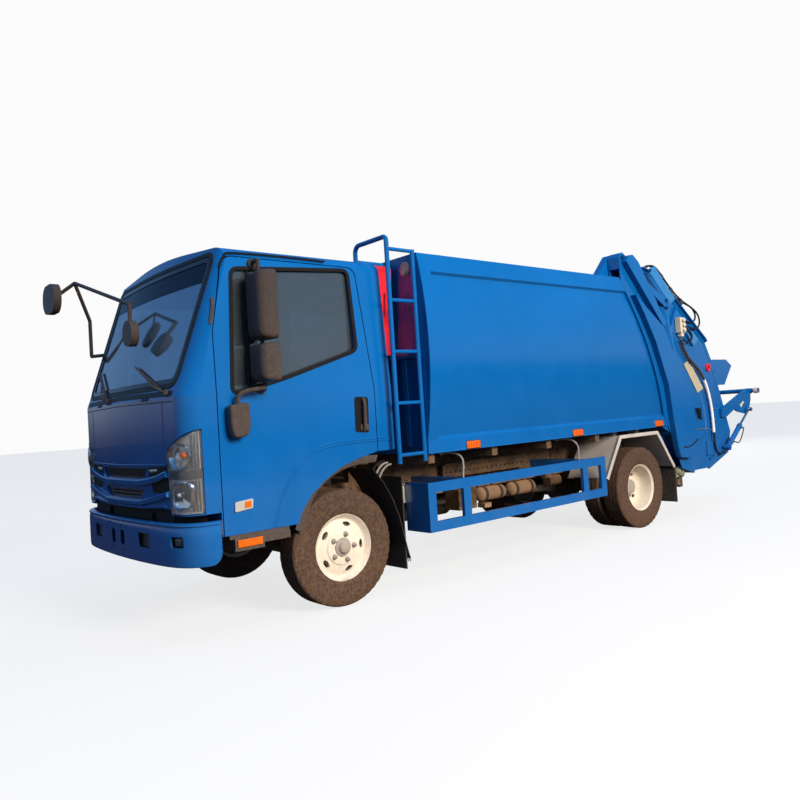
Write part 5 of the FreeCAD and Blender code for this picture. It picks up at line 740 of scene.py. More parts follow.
@both
def headlamp_lights(hand):
    """The bowl below, the projector above, their bulbs and the indicator."""
    outward = -Y + X * hand * 0.5
    rim = Piece("headlamp_rims_*", "cab", "chrome", hand)
    bowl = round_corners([(722, 776), (866, 784), (868, 936), (718, 926)], 40)
    steps = ((1.06, -20), (1.05, -4), (0.99, -2), (0.9, -16), (0.55, -21), (0.12, -22))
    rim.grid([[on_front((793 + (x - 793) * k) * hand, 856 + (z - 856) * k, out) for x, z in bowl]
              for k, out in steps], close_v=True)
    rim.lathe([(16, 78), (20, 74), (18, 70), (-4, 56), (-12, 31.5), (-14, 0)], on_front(802 * hand, 1082, -22),
              outward, 36, closed=False).done(50)
    bulb = Piece("headlamp_bulb_*", "cab", "lamp_clear", hand)
    bulb.lathe([(0, 0), (0, 12), (12, 15), (20, 11), (24, 0)], on_front(790 * hand, 862, -16), -Y, 18)
    bulb.lathe([(0, 0), (0, 34), (14, 30), (22, 18), (25, 0)], on_front(790 * hand, 1076, -20), -Y,
               24).done(50)
    turn = Piece("headlamp_indicator_*", "cab", "amber", hand)
    turn.lathe([(0, 0), (0, 20), (12, 17), (18, 0)], on_front(836 * hand, 1092, -12), outward, 18).done(50)
    slot = Piece("pillar_slot_*", "cab", "brown_plastic", hand)
    places = slot.beside([(-862, 1845), (-850, 1900), (-838, 1955), (-832, 2005)], 1)
    slot.strip(places, 22, 6, 3, [(-Y * 0.35 + X * hand).normalized()] * 4).done(50, bevel=1)


# Doors and the cab's sides

@both
def door_window(hand):
    """The window's seal and post, and the drip rail above it."""
    door = "door_*"
    seal = Piece("window_seal_*", door, "seal", hand)
    edge = [(-757, 1428), (-712, 2190), (141, 2244), (168, 1696), (-442, 1500)]
    seal.strip(seal.beside(dense(round_corners(edge, [50, 50, 50, 45, 200]), 25)), 26, 6, closed=True).done(40)
    post = Piece("window_post_*", door, "seal", hand)
    post.strip(post.beside([(-640, 1440), (-618, 1800), (-600, 2200)], -12), 16, 6).done(40)
    rail = Piece("drip_rail_*", "cab", "seal", hand)
    places = rail.beside([(-775, 2195), (-745, 2262), (-690, 2285), (-300, 2292), (-36, 2288)], 1)
    rail.strip(smooth_path(places, 5), 13, 8, 3).done(40)


@both
def door_handle(hand):
    """The recess, the pull with its foot and the lock."""
    recess = Piece("handle_recess_*", "door_*", "seal", hand)
    flat = round_corners([(112, 1140), (224, 1132), (232, 1374), (118, 1380)], 22)
    recess.slab(recess.beside(flat, -1), 3.5).done(40, bevel=1)
    pull = Piece("handle_pull_*", "door_*", "black_plastic", hand)
    grip = ((185, 1362, 6), (183, 1338, 24), (180, 1250, 27), (178, 1172, 24), (176, 1150, 6))
    pull.tube([on_side(*p, hand) for p in grip], 13, 10, steps=5)
    pull.slab(pull.beside(round_corners([(150, 1150), (214, 1146), (220, 1188), (153, 1192)], 8), 2), 8)
    pull.lathe([(0, 0), (0, 11), (5, 10), (6, 0)], on_side(205, 1160, 8, hand), steps=16).done(50, bevel=1)


@both
def door_lamps(hand):
    """The side lamp low on the door, with its amber half."""
    lamp = Piece("door_lamp_*", "door_*", "lamp_clear", hand)
    flat = round_corners([(-786, 730), (-668, 742), (-664, 800), (-782, 790)], 12)
    lamp.slab(lamp.beside(flat), 12).done(40, bevel=3)
    amber = Piece("door_lamp_amber_*", "door_*", "amber", hand)
    flat = round_corners([(-724, 748), (-680, 752), (-678, 790), (-722, 787)], 6)
    amber.slab(amber.beside(flat, 11), 3.5).done(bevel=1)


@both
def wheel_arch(hand):
    """Two creases round the arch, on the door and behind it, and the liner in the arch."""
    crease = Piece("arch_crease_*", "door_*", "body_blue", hand)
    tail = Piece("arch_crease_rear_*", "cab", "body_blue", hand)
    for s, tall in ((0, 5), (16, 3)):
        run = smooth_path([(-523 - s, 606), (-440 - s, 814), (-257 - s * 0.7, 1013 + s), (-45, 1067 + s),
                           (282, 1073 + s)], 10)
        crease.strip(crease.beside(run), 11, tall)
        tail.strip(tail.beside([(y, 1073 + s) for y in (296, 340, 380, 420)]), 11, tall)
    crease.done(70)
    tail.done(70)
    liner = Piece("arch_liner_*", "root", "brown_plastic", hand)
    rows = []
    for p in smooth_path([(-368, 560), (-345, 620), (-258, 778), (-142, 880), (-2, 940), (140, 962),
                          (285, 962)], 8):
        out = (p - Vector((0, 387))).normalized()
        rows.append([(x, p.x + out.x * d, p.y + out.y * d) for x, d in (
            (898, 14), (901, -34), (897, -40), (780, -40), (600, -40), (600, -34), (780, -34), (890, -30),
            (892, 14))])
    liner.grid(rows, close_v=True, caps=True).done(40)


@both
def door_step(hand):
    """The ribbed step, its reflector and the door's hinge covers."""
    tread = Piece("step_tread_*", "cab", "black_plastic", hand)
    for k in range(22):
        tread.box((896, -788 + k * 8.6, 583), (840, -784 + k * 8.6, 590))
    tread.box((902, -822, 574), (884, -425, 598)).box((902, -600, 528), (760, -420, 574)).done(bevel=1)
    Piece("step_reflector_*", "cab", "amber", hand).box((905, -776, 520), (913, -613, 566)).done(bevel=4)
    hinge = Piece("door_foot_hinge_*", "cab", "black_plastic", hand)
    hinge.box((880, -872, 612), (904, -858, 700)).box((880, -872, 1000), (904, -858, 1090)).done(bevel=2)


@both
def kerb_mirror(hand):
    """The small mirror under the window, on its bent arm."""
    kerb = Piece("kerb_mirror_*", "door_*", "brown_plastic", hand)
    flat = [(-812, 1360), (-688, 1376), (-684, 1230), (-706, 1172), (-790, 1165), (-808, 1215)]
    kerb.slab(kerb.beside(round_corners(flat, 26), 8), 75).done(40, bevel=16, segments=4)
    arm = Piece("kerb_mirror_arm_*", "door_*", "black_plastic", hand)
    bend = ((-745, 1368, 45), (-742, 1412, 52), (-700, 1440, 70), (-590, 1455, 100))
    arm.tube([on_side(*p, hand) for p in bend], 14, 10, steps=6).done(60)


def capsule_box(piece, low, high, pull=0.0, power=4.0, steps=7):
    """A closed crowned form within two corners, squarer as its power grows."""
    def squared(value):
        return math.copysign(abs(value) ** (2 / power), value)

    middle = [(a + b) / 2 for a, b in zip(low, high)]
    half = [(b - a) / 2 for a, b in zip(low, high)]
    rows = []
    for i in range(steps * 2 + 1):
        v = -math.pi / 2 + math.pi * i / (steps * 2)
        rise, ring = squared(math.sin(v)), max(squared(abs(math.cos(v))), 0.02)
        row = []
        for j in range(steps * 4):
            t = 2 * math.pi * j / (steps * 4)
            reach = ring * (1 - pull * math.cos(2 * t) ** 2 * (1 - abs(rise)))
            row.append((middle[0] + half[0] * squared(math.cos(t)) * reach,
                        middle[1] + half[1] * squared(math.sin(t)) * reach, middle[2] + half[2] * rise))
        rows.append(row)
    return piece.grid(rows, close_v=True, caps=True)


# Mirrors: two housings on one bent pole

MIRROR_PANES = [(908, 1744, 1110, 2160), (908, 1489, 1110, 1721)]
POLE = 957


@both
def door_mirrors(hand):
    """The housings, the pole with its feet and clamps, and the panes."""
    shell = Piece("mirror_housing_*", "door_*", "black_plastic", hand)
    panes = Piece("mirror_pane_*", "door_*", "mirror", hand)
    for x0, z0, x1, z1 in MIRROR_PANES:
        outline = round_corners(rectangle(x0, z0, x1, z1), 34, 7)
        x, z = (x0 + x1) / 2, (z0 + z1) / 2
        steps = ((-541, 5), (-535, 1), (-537, 0), (-575, 0), (-612, 3), (-634, 12), (-646, 28), (-650, 50))
        shell.grid([[(x + (p.x - x) * (1 - 2 * shrink / (x1 - x0)), y,
                      z + (p.y - z) * (1 - 2 * shrink / (z1 - z0))) for p in outline]
                    for y, shrink in steps], close_v=True, caps=True)
        glass = round_corners(rectangle(x0 + 9, z0 + 9, x1 - 9, z1 - 9), 26)
        panes.prism([panes.place((p.x, -540, p.y)) for p in glass], Y * 0, Y * 0.0055)
    shell.tube([(x, -570, z) for x, z in ((880, 2226), (905, 2236), (945, 2232), (POLE, 2205), (POLE, 1800),
                                          (POLE, 1475), (944, 1452), (906, 1450))], 12.5, 12, steps=6)
    for x, z in ((906, 1452), (880, 2226)):
        shell.lathe([(0, 0), (0, 34), (12, 30), (16, 20), (16, 0)], (x, -570, z), steps=20)
    for z in (1600, 1850, 2050):
        shell.box((POLE - 20, -592, z - 22), (POLE + 20, -548, z + 22))
    shell.done(40, replaces="mirrors_*")
    panes.done()


# Seats, wheel hub and what shows through the glass

@both
def seat(hand):
    """A padded cushion and back on a plinth, with piping and headrest bars."""
    middle = 440
    cushion = capsule_box(Piece("seat_cushion_*", "cab", "seat_fabric", hand),
                          (middle - 250, -82, 1046), (middle + 250, 262, 1176), 0.05, 5)
    cushion.done(60)
    back = capsule_box(Piece("seat_back_*", "cab", "seat_fabric", hand),
                       (middle - 242, 244, 1110), (middle + 242, 376, 1668), 0.06, 4.4)
    back.done(60, replaces="seats")
    plinth = Piece("seat_plinth_*", "cab", "black_plastic", hand)
    plinth.box((middle - 200, -40, 1042), (middle + 200, 230, 1062))
    piping = Piece("seat_piping_*", "cab", "seal", hand)
    for side in (-1, 1):
        bar, seam = middle + 90 * side, middle + 130 * side
        plinth.tube([(bar, 310, 1640), (bar, 312, 1700)], 6)
        piping.tube([(seam, y, z) for y, z in ((-60, 1160), (20, 1177), (120, 1178), (225, 1172))], 3.5, 6)
    plinth.done(bevel=2)
    piping.done(60)


column = Vector((0, math.sin(math.radians(35)), math.cos(math.radians(35))))
hub = Piece("steering_hub", "cab", "black_plastic")
hub.lathe([(-10, 0), (-10, 62), (12, 70), (30, 58), (34, 0)], (440, -490, 1430), column, 28).done(40)
binnacle = capsule_box(Piece("dash_binnacle", "cab", "black_plastic"), (250, -900, 1372), (630, -735, 1452))
for k in range(4):
    binnacle.box((-180 + k * 92, -748, 1290), (-104 + k * 92, -739, 1362))
binnacle.box((-330, -820, 1384), (-80, -752, 1396)).done(50, bevel=3)
visors = Piece("sun_visors", "cab", "seat_fabric")
for x in (-560, 140):
    visors.box((x, -700, 2195), (x + 420, -684, 2262), Matrix.Rotation(math.radians(-19), 3, "X"),
               (x, -692, 2262))
visors.done(bevel=5)

CAB_HEART = P(0, -300, 1700)
for name in ("cab_shell", "door_left", "door_right"):
    shell = nodes[name]
    shell.data.materials.append(M["cab_trim"])
    for face in shell.data.polygons:
        c = shell.matrix_world @ face.center
        facing = shell.matrix_world.to_3x3() @ face.normal
        z = c.z * 1000
        within = (abs(c.x) * 1000 < side_half(z) - 30 and 1004 < z < 2353
                  and on_front(c.x * 1000, z).y + 0.03 < c.y < P(0, 410, 0).y)
        if within and facing.dot(CAB_HEART - c) > 0:
            face.material_index = len(shell.data.materials) - 1

# Edges of welded sheet metal catch the light

EDGE_WIDTHS = {"side_guards": 3, "tailgate": 2.5, "body_shell": 3, "red_tank": 8, "subframe": 2,
               "rear_fenders": 3, "bin_lifter": 2.5, "chassis_frame": 1.5, "tail_lamps": 4, "fuel_tank": 22,
               "battery_box": 8, "engine": 14, "dashboard": 10, "cab_steps": 6}
for name, width in EDGE_WIDTHS.items():
    round_edges(nodes[name], width, from_deg=38)

# Front bumper: one pressed skin with a rolled top, cups behind its openings

BUMPER_PLAN = [(925, -882), (925, -892), (925, -904), (925, -916), (925, -932), (908, -990), (858, -1046),
               (770, -1090), (620, -1120), (400, -1138), (200, -1147), (0, -1150)]
BUMPER_SECTION = [(0, 452), (3, 470), (4, 600), (2, 660), (-2, 676), (4, 684), (3, 694), (-6, 700), (-30, 700),
                  (-30, 694), (-10, 694), (-6, 676), (-5, 470), (-30, 456), (-30, 450), (-6, 448)]
BUMPER_OPENINGS = [(415, 586, 80, 43, 16), (82, 578, 33, 46, 20), (782, 594, 48, 32, 16)]
BUMPER_CURVE = smooth_path(BUMPER_PLAN + [(-x, y) for x, y in BUMPER_PLAN[-2::-1]], 5)
BUMPER_LINE = [(p, Vector((-way.y, way.x, 0))) for p, way in zip(BUMPER_CURVE, ways(BUMPER_CURVE))]


def bumper_at(x, z, out=0):
    """A place on the bumper's face at a sideways place, and the way it faces."""
    for (p, n), (q, _) in zip(BUMPER_LINE, BUMPER_LINE[1:]):
        if q.x <= x <= p.x:
            y = p.y + (q.y - p.y) * (p.x - x) / max(p.x - q.x, 0.001)
            return P(x, y, z) + n * out * MM, n


def bumper_foot(y, z):
    """The height of a place low on the bumper, raised where its end is rounded."""
    share = min(1, max(0, (y + 945) / 63))
    return z + max(0, 560 - z) / 108 * 62 * (1 - math.sqrt(1 - share ** 2))


def bumper_skin():
    """The skin with its openings cut, and a cup behind each, coloured near black as painted shade."""
    skin = Piece("bumper_skin", "root", "body_blue")
    skin.grid([[P(p.x, p.y, bumper_foot(p.y, z)) + n * out * MM for out, z in BUMPER_SECTION]
               for p, n in BUMPER_LINE], close_v=True, caps=True)
    # The cups are near black: painted shade inside the bumper's openings.
    cups = Piece("bumper_cups", "root", "black_void")
    cutters = []
    for middle, z, wide, tall, corner in BUMPER_OPENINGS:
        for x in (middle, -middle):
            way = bumper_at(x, z)[1]
            outline = round_corners(rectangle(x - wide, z - tall, x + wide, z + tall), corner)
            ring = [bumper_at(p.x, z)[0] + Z * (p.y - z) * MM for p in outline]
            cutters.append(Piece("cutter", "root", "seal").prism(ring, way * 0.05, way * -0.05).made())
            front, back = [p + way * -0.004 for p in ring], [p + way * -0.046 for p in ring]
            heart = sum(back, Vector()) / len(back)
            cups.grid([front, back, *([p.lerp(heart, k) for p in back] for k in (0.4, 0.97))], close_v=True)
    face = skin.done(40)
    carve(face, cutters)
    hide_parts("front_bumper")
    cups.done(40)


def bumper_behind():
    """Stays, the valance above them in near black as painted shade of the gap under the cab, bolts and fog
    reflectors.
    """
    stays = Piece("bumper_stays", "root", "axle_iron")
    # The valance is near black: painted shade in the gap between bumper and cab.
    valance = Piece("bumper_valance", "root", "black_void")
    fog = Piece("fog_reflectors", "root", "fog_glass")
    outline = round_corners(rectangle(744, 568, 826, 620), 18)
    for hand in (1, -1):
        stays.hand = valance.hand = hand
        stays.box((345, -1104, 560), (407, -1040, 640)).box((330, -1116, 500), (500, -1104, 672))
        stays.rod((415, -1073, 586), (415, -1112, 586), 22.5, 20)
        valance.box((700, -1052, 690), (880, -1000, 746), Matrix.Rotation(math.radians(34 * hand), 3, "Z"),
                    (700, -1052, 700)).box((360, -1078, 690), (400, -1060, 740))
        fog.grid([[bumper_at((785 + (p.x - 785) * k) * hand, 594 + (p.y - 594) * k, out)[0] for p in outline]
                  for k, out in ((1, -30), (1, -16), (0.8, -12), (0.4, -10), (0.02, -9))], close_v=True)
    stays.box((-690, -1010, 700), (690, -1004, 790)).done(bevel=2)
    valance.box((-700, -1060, 640), (700, -1052, 800)).done(bevel=2)
    fog.done(50)
    bolts = Piece("bumper_bolts", "root", "seal")
    for x, z in ((-150, 660), (60, 652), (-40, 510), (96, 506), (-96, 512), (150, 648)):
        bolts.lathe([(-2, 0), (-2, 8), (5, 7), (6, 0)], *bumper_at(x, z), 12)
    bolts.done()


bumper_skin()
bumper_behind()

# Load body: markers, welds, seams and the red tank's fittings

BODY_FOOT, BODY_TOP = 1041, 2390


def body_half(z):
    """The load body's half width at a height of its bowed side."""
    middle = (BODY_FOOT + BODY_TOP) / 2
    return 1010 + (78 * max(0, 1 - ((z - middle) / (BODY_TOP - middle)) ** 2) if z >= BODY_FOOT else 0)


def body_rear(z):
    """Where the load body's leaning rear edge is."""
    return 3825 - 660 * (z - 945) / 1445


@both
def side_markers(hand):
    """Amber lamps in bright bezels along the body's foot."""
    lens = Piece("marker_lenses_*", "root", "amber", hand)
    bezel = Piece("marker_bezels_*", "root", "chrome", hand)
    seams = Piece("marker_seams_*", "root", "red_lens", hand)
    for middle in (1099, 2367, 3652):
        lens.plate(1009, rectangle(middle - 70, 953, middle + 70, 1007), 13, 8)
        ring = round_corners(rectangle(middle - 73, 950, middle + 73, 1010), 10)
        bezel.strip([(1010, y, z) for y, z in ring], 6, 9, 1, closed=True)
        for k in range(-2, 3):
            seams.box((1021, middle + k * 26 - 3, 960), (1023.5, middle + k * 26 + 3, 1000))
    lens.done(40, bevel=3, replaces="side_markers")
    bezel.done(50)
    seams.done(bevel=1)


@both
def body_welds(hand):
    """Welds along the body side's front, rear and foot."""
    weld = Piece("body_welds_*", "root", "body_blue", hand)
    heights = range(960, BODY_TOP, 55)
    weld.strip([(body_half(z), 662, z) for z in heights], 12, 4)
    weld.strip([(body_half(z) - 2, body_rear(z) - 8, z) for z in heights], 12, 5)
    weld.strip([(1010, y, 949) for y in range(660, 3812, 90)], 8, 4).done(60)


seams = Piece("roof_seams", "root", "body_blue")
for y in (900, 1500, 2100, 2700):
    seams.box((-985, y - 14, 2388), (985, y + 14, 2399))
seams.done(bevel=3)
ribs = Piece("front_wall_ribs", "root", "body_blue")
for x in (-820, -420, 0, 420, 820):
    ribs.box((x - 25, 636, 1000), (x + 25, 657, 1640))
ribs.box((-1000, 630, 1640), (1000, 657, 1700)).done(bevel=3)
handle = Piece("tank_handle", "root", "rod_steel")
handle.tube([(x, 560, z) for x, z in ((762, 2130), (790, 2122), (792, 2000), (762, 1992))], 8, 10,
            steps=5).done(60)
cap = Piece("tank_cap", "root", "red_paint")
for profile in ([(0, 0), (0, 48), (18, 46), (22, 40), (24, 0)], [(0, 0), (0, 50), (6, 50), (6, 0)]):
    cap.lathe(profile, (420, 560, 2333), Z, 28)
for x in (250, 640):
    cap.box((x - 22, 466, 1680), (x + 22, 474, 2330))
cap.done(40, bevel=2)
port = Piece("front_wall_port", "root", "hub_metal")
port.lathe([(0, 0), (0, 55), (6, 53), (8, 44), (4, 40), (4, 0)], (880, 654, 2290), -Y, 32)
port.lathe([(0, 0), (0, 20), (20, 18), (22, 0)], (880, 652, 2262), -Y, 20).done(40)


# Hoses and their ends

def hose(name, body, points, diameter, material, hand=1):
    """A hose between two fittings, on one smooth spline through its route; gives the route back."""
    owner = Piece(name, body, material, hand)
    points = [owner.place(p) for p in points]
    data = bpy.data.curves.new(owner.name, "CURVE")
    data.dimensions = "3D"
    line = data.splines.new("NURBS")
    line.points.add(len(points) - 1)
    for spot, p in zip(line.points, points):
        spot.co = (*p, 1)
    line.order_u = 3
    line.use_endpoint_u = True
    line.resolution_u = 8
    thing = link(owner.name, data)
    bpy.context.view_layer.update()
    route = [v.co.copy() for v in bpy.data.meshes.new_from_object(thing).vertices]
    data.bevel_depth = diameter / 2000
    data.bevel_resolution = 3
    data.use_fill_caps = True
    data.materials.append(M[material])
    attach(thing, owner.body)
    return route


def fitting(piece, place, way, size):
    """A hexagonal hose end with its collar."""
    piece.lathe([(-4, 0), (-4, size), (16, size), (16, 0)], place, way, 6)
    piece.lathe([(14, 0), (14, size * 0.8), (40, size * 0.72), (40, 0)], place, way, 16)


# Under the body

RAIL_OUT = 407


@both
def rail_holes(hand):
    """Rows of holes in the frame's rail and in the pierced rail outside it, drawn as thin near-black discs:
    painted shade.
    """
    # Each hole is a near-black disc on the rail's face: painted shade.
    holes = Piece("rail_holes_*", "root", "black_void", hand)
    for z, first in ((620, -900), (712, -870)):
        for k in range(78):
            holes.lathe([(-0.5, 0), (-0.5, 6.5), (0.6, 6.5), (0.6, 0)], (RAIL_OUT + 0.4, first + k * 60, z),
                        steps=8)
    holes.done()
    row = Piece("pierced_rail_*", "root", "black_void", hand)
    for k in range(18):
        for first, z, r, steps in ((1280, 736, 9, 10), (1300, 778, 6, 8)):
            row.lathe([(-0.5, 0), (-0.5, r), (0.6, r), (0.6, 0)], (484.4, first + k * 54, z), steps=steps)
    row.done()


@both
def rail_plates(hand):
    """Bolted plates that carry the body, and the pierced rail on its brackets."""
    plates = Piece("rail_plates_*", "root", "frame_paint", hand)
    for y in (760, 1420, 2140, 2700):
        plates.box((404, y, 640), (416, y + 130, 880))
        for z in (668, 712, 800, 850):
            for dy in (28, 102):
                plates.lathe([(0, 0), (0, 13), (9, 12), (11, 0)], (416, y + dy, z), steps=6)
    for low, high in (((470, 700), (484, 812)), ((484, 804), (520, 812)), ((484, 700), (520, 708))):
        plates.box((low[0], 1250, low[1]), (high[0], 2230, high[1]))
    for y in (1290, 1740, 2190):
        plates.box((RAIL_OUT, y - 20, 730), (472, y + 20, 770))
    plates.done(bevel=2)


@both
def spring_fittings(hand):
    """Clips over the leaf springs, eyes at their ends, and the dampers."""
    spring = 377
    irons = Piece("spring_fittings_*", "root", "axle_iron", hand)
    for axle_y, reach, foot in ((0, 56, 285), (REAR_AXLE, 76, 330)):
        for y in (axle_y - reach, axle_y + reach):
            for x in (spring - 24, spring + 24):
                irons.rod((x, y, foot), (x, y, 470), 9, 10)
            irons.box((spring - 38, y - 16, 455), (spring + 38, y + 16, 470))
    for y in (-590, 560, 2935, 3785):
        irons.lathe([(-45, 0), (-45, 24), (45, 24), (45, 0)], (spring, y, 545), X, 16)
    irons.rod((300, -130, 330), (330, -110, 700), 22).rod((300, 3230, 400), (330, 3210, 740), 24).done(40)


def on_the_frame():
    """What hangs on the frame: air reservoirs, boxes, gearbox and silencer."""
    air = Piece("air_reservoir", "root", "tan_paint")
    for y in (1620, 2010):
        air.lathe([(0, 0), (4, 30), (20, 52), (40, 60), (300, 60), (320, 52), (336, 30), (340, 0)],
                  (470, y, 512), Y, 32)
    air.box((440, 1660, 400), (530, 1740, 440)).box((470, 2470, 560), (520, 2560, 610)).done(50, bevel=2)
    straps = Piece("air_straps", "root", "black_plastic")
    for y in (1700, 1880, 2085, 2280):
        straps.lathe([(-16, 60.5), (-16, 63), (16, 63), (16, 60.5)], (470, y, 512), Y, 32)
        straps.box((405, y - 16, 500), (412, y + 16, 690)).box((405, y - 16, 566), (470, y + 16, 574))
    straps.rod((470, 1962, 512), (470, 2008, 512), 18, 14).done(40)
    Piece("control_box", "root", "cream").box((560, 566, 590), (742, 742, 716)).done(bevel=6)
    bracket = Piece("control_box_bracket", "root", "frame_paint")
    for low, high in (((404, 590, 640), (562, 620, 680)), ((404, 690, 640), (562, 720, 680)),
                      ((580, 560, 470), (720, 574, 590)), ((470, 760, 520), (640, 960, 650)),
                      ((430, 1300, 430), (600, 1500, 600))):
        bracket.box(low, high)
    bracket.rod((430, 2600, 520), (430, 2760, 520), 50, 20).done(40, bevel=4)
    gearbox = Piece("gearbox_lines", "root", "engine_metal")
    gearbox.lathe([(0, 0), (0, 170), (140, 150), (200, 110), (500, 100), (520, 60), (580, 50), (580, 0)],
                  (0, 300, 540), Y, 28)
    for x, y, r in ((150, -300, 60), (-150, -420, 55), (180, -120, 40)):
        gearbox.lathe([(0, 0), (0, r), (200, r), (200, 0)], (x, y, 700), Y, 20)
    gearbox.done(40)
    silencer = Piece("silencer", "root", "axle_iron")
    silencer.lathe([(0, 0), (0, 90), (15, 110), (660, 110), (675, 90), (675, 0)], (-170, 1150, 400), Y, 32)
    silencer.tube([(-170, 1150, 400), (-190, 700, 420), (-220, 300, 520), (-200, 40, 600)], 30, 14, steps=6)
    silencer.tube([(-170, 1820, 400), (-180, 2300, 420), (-230, 2750, 600), (-260, 3360, 680),
                   (-300, 3800, 520), (-420, 3960, 420)], 28, 14, steps=7).done(50)


def hoses_under():
    """The pale hoses that loop down from the body and from behind the cab."""
    ends = Piece("hose_ends_under", "root", "rod_steel")
    for spot, way in (((840, 930, 925), Z * 0.3 - X), ((880, 1094, 700), -Z), ((840, 2290, 925), Z * 0.3 - X),
                      ((880, 2522, 690), -Z), ((640, 320, 940), Z)):
        fitting(ends, spot, way, 14)
    ends.done(40)
    hose("body_hose_front", "root", [(840, 930, 925), (880, 968, 930), (905, 1040, 915), (905, 1085, 870),
                                     (892, 1096, 800), (882, 1096, 740), (880, 1094, 700)], 17, "grey_hose")
    hose("body_hose_rear", "root", [(840, 2290, 925), (880, 2330, 934), (905, 2420, 915), (905, 2492, 868),
                                    (892, 2516, 800), (882, 2522, 740), (880, 2522, 690)], 17, "grey_hose")
    for k, x in enumerate((560, 600, 640)):
        route = [(600, 900 - 12 * k), (560, 900 - 12 * k), (500, 860 - 20 * k), (470, 790 - 20 * k),
                 (480, 720), (540, 690), (590, 690)]
        hose(f"cab_hose_{k}", "root", [(x, y, z) for y, z in route], 16, "grey_hose" if k else "black_hose")


on_the_frame()
hoses_under()


@both
def fender_and_flaps(hand):
    """The rear fender's lip, the front flap with its fringe, and the rear flap's clamp."""
    lip = Piece("fender_lip_*", "root", "fender_grey", hand)
    flat = dense([(2756, 531), (3003, 893), (3626, 893), (3891, 531)], 90, closed=False)
    lip.strip([(1008, y, z) for y, z in flat], 34, 3.5, 4).done(60)
    flap = Piece("front_flap_*", "root", "rubber", hand)
    edge = [(245, 882), (330, 778), (400, 659), (452, 520), (488, 368), (515, 262), (528, 219)]
    section = ((890, 0), (700, 2), (560, 4), (560, 10), (700, 8), (890, 6))
    flap.grid([[(x, y + dy, z) for x, dy in section] for y, z in edge], close_v=True, caps=True)
    for x in range(562, 892, 22):
        flap.grid([[(x, y, 220), (x + 11, y + 3, 196), (x + 22, y, 220)] for y in (528, 533)])
    flap.done(50)
    clamp = Piece("flap_clamp_*", "root", "rod_steel", hand).box((580, 3876, 528), (1000, 3880, 552))
    for x in range(620, 1000, 112):
        clamp.lathe([(0, 0), (0, 9), (5, 8), (6, 0)], (x, 3880, 540), Y, 6)
    clamp.done(bevel=1)


# Tailgate gear on its left and right

COLUMN_FACE = [(3330, 2230), (3450, 2060), (3623, 1782), (3798, 1355), (3846, 1011), (3889, 750), (3935, 620),
               (4130, 600), (4240, 680), (4290, 860), (4230, 1100), (4150, 1250), (4050, 1510), (3900, 1740),
               (3790, 1925)]
COLUMN_CHANNEL = [(3215, 2540), (3262, 2600), (3330, 2612), (3420, 2550), (3838, 1972), (3788, 1928)]
SHELL = [(3720, 2523), (3954, 2484), (4365, 2195), (4872, 1824), (4884, 1804), (4891, 1792), (5004, 1600),
         (5318, 786), (5258, 572), (4811, 430)]
WIDE_LIP, NARROW_LIP = 34, 16
ARM_TOP = 1800
COLUMN_IN, COLUMN_OUT = 1010, 1072
GATE_SIDE = 880
CYLINDER = 945


@both
def gate_lip(hand):
    """The tailgate's edge flange, narrower where the bin lifter's arms pass."""
    lip = Piece("gate_lip_*", "tailgate", "body_blue", hand)
    line = [Vector(p) for p in SHELL]
    rows = []
    for i, (p, way) in enumerate(zip(line, ways(line))):
        out = Vector((-way.y, way.x))
        a, b = p - out * 10, p + out * (WIDE_LIP if i < 8 else NARROW_LIP)
        far = 922 if p.y > ARM_TOP else 883
        near = min(far, 886)
        rows.append([(x, *q) for x, q in ((858, a), (858, b), (far, b), (far, b.lerp(a, 0.22)),
                                          (near, b.lerp(a, 0.3)), (near, a))])
    lip.grid(rows, close_v=True, caps=True).done(30, bevel=3)


@both
def columns(hand):
    """The columns' raised face and channel plates, with the weld on them and the slot drawn as a thin
    near-black plate, painted shade.
    """
    for name, outline, bevel in (("column_face_*", COLUMN_FACE, 4), ("column_channel_*", COLUMN_CHANNEL, 5)):
        raised = Piece(name, "tailgate", "body_blue", hand)
        raised.plate(COLUMN_IN, outline, COLUMN_OUT - COLUMN_IN).done(30, bevel=bevel)
    # The slot is a thin near-black plate on the column: painted shade.
    slot = Piece("column_slots_*", "tailgate", "black_void", hand)
    slot.plate(COLUMN_OUT + 0.4, [(4253, 1102), (4378, 1092), (4378, 966), (4300, 990)], 0.8, 18).done()
    weld = Piece("column_welds_*", "tailgate", "body_blue", hand)
    outline = round_corners([(4236, 1120), (4396, 1108), (4396, 950), (4284, 976)], 22)
    weld.strip([(COLUMN_OUT, y, z) for y, z in outline], 8, 4, closed=True).done(50)


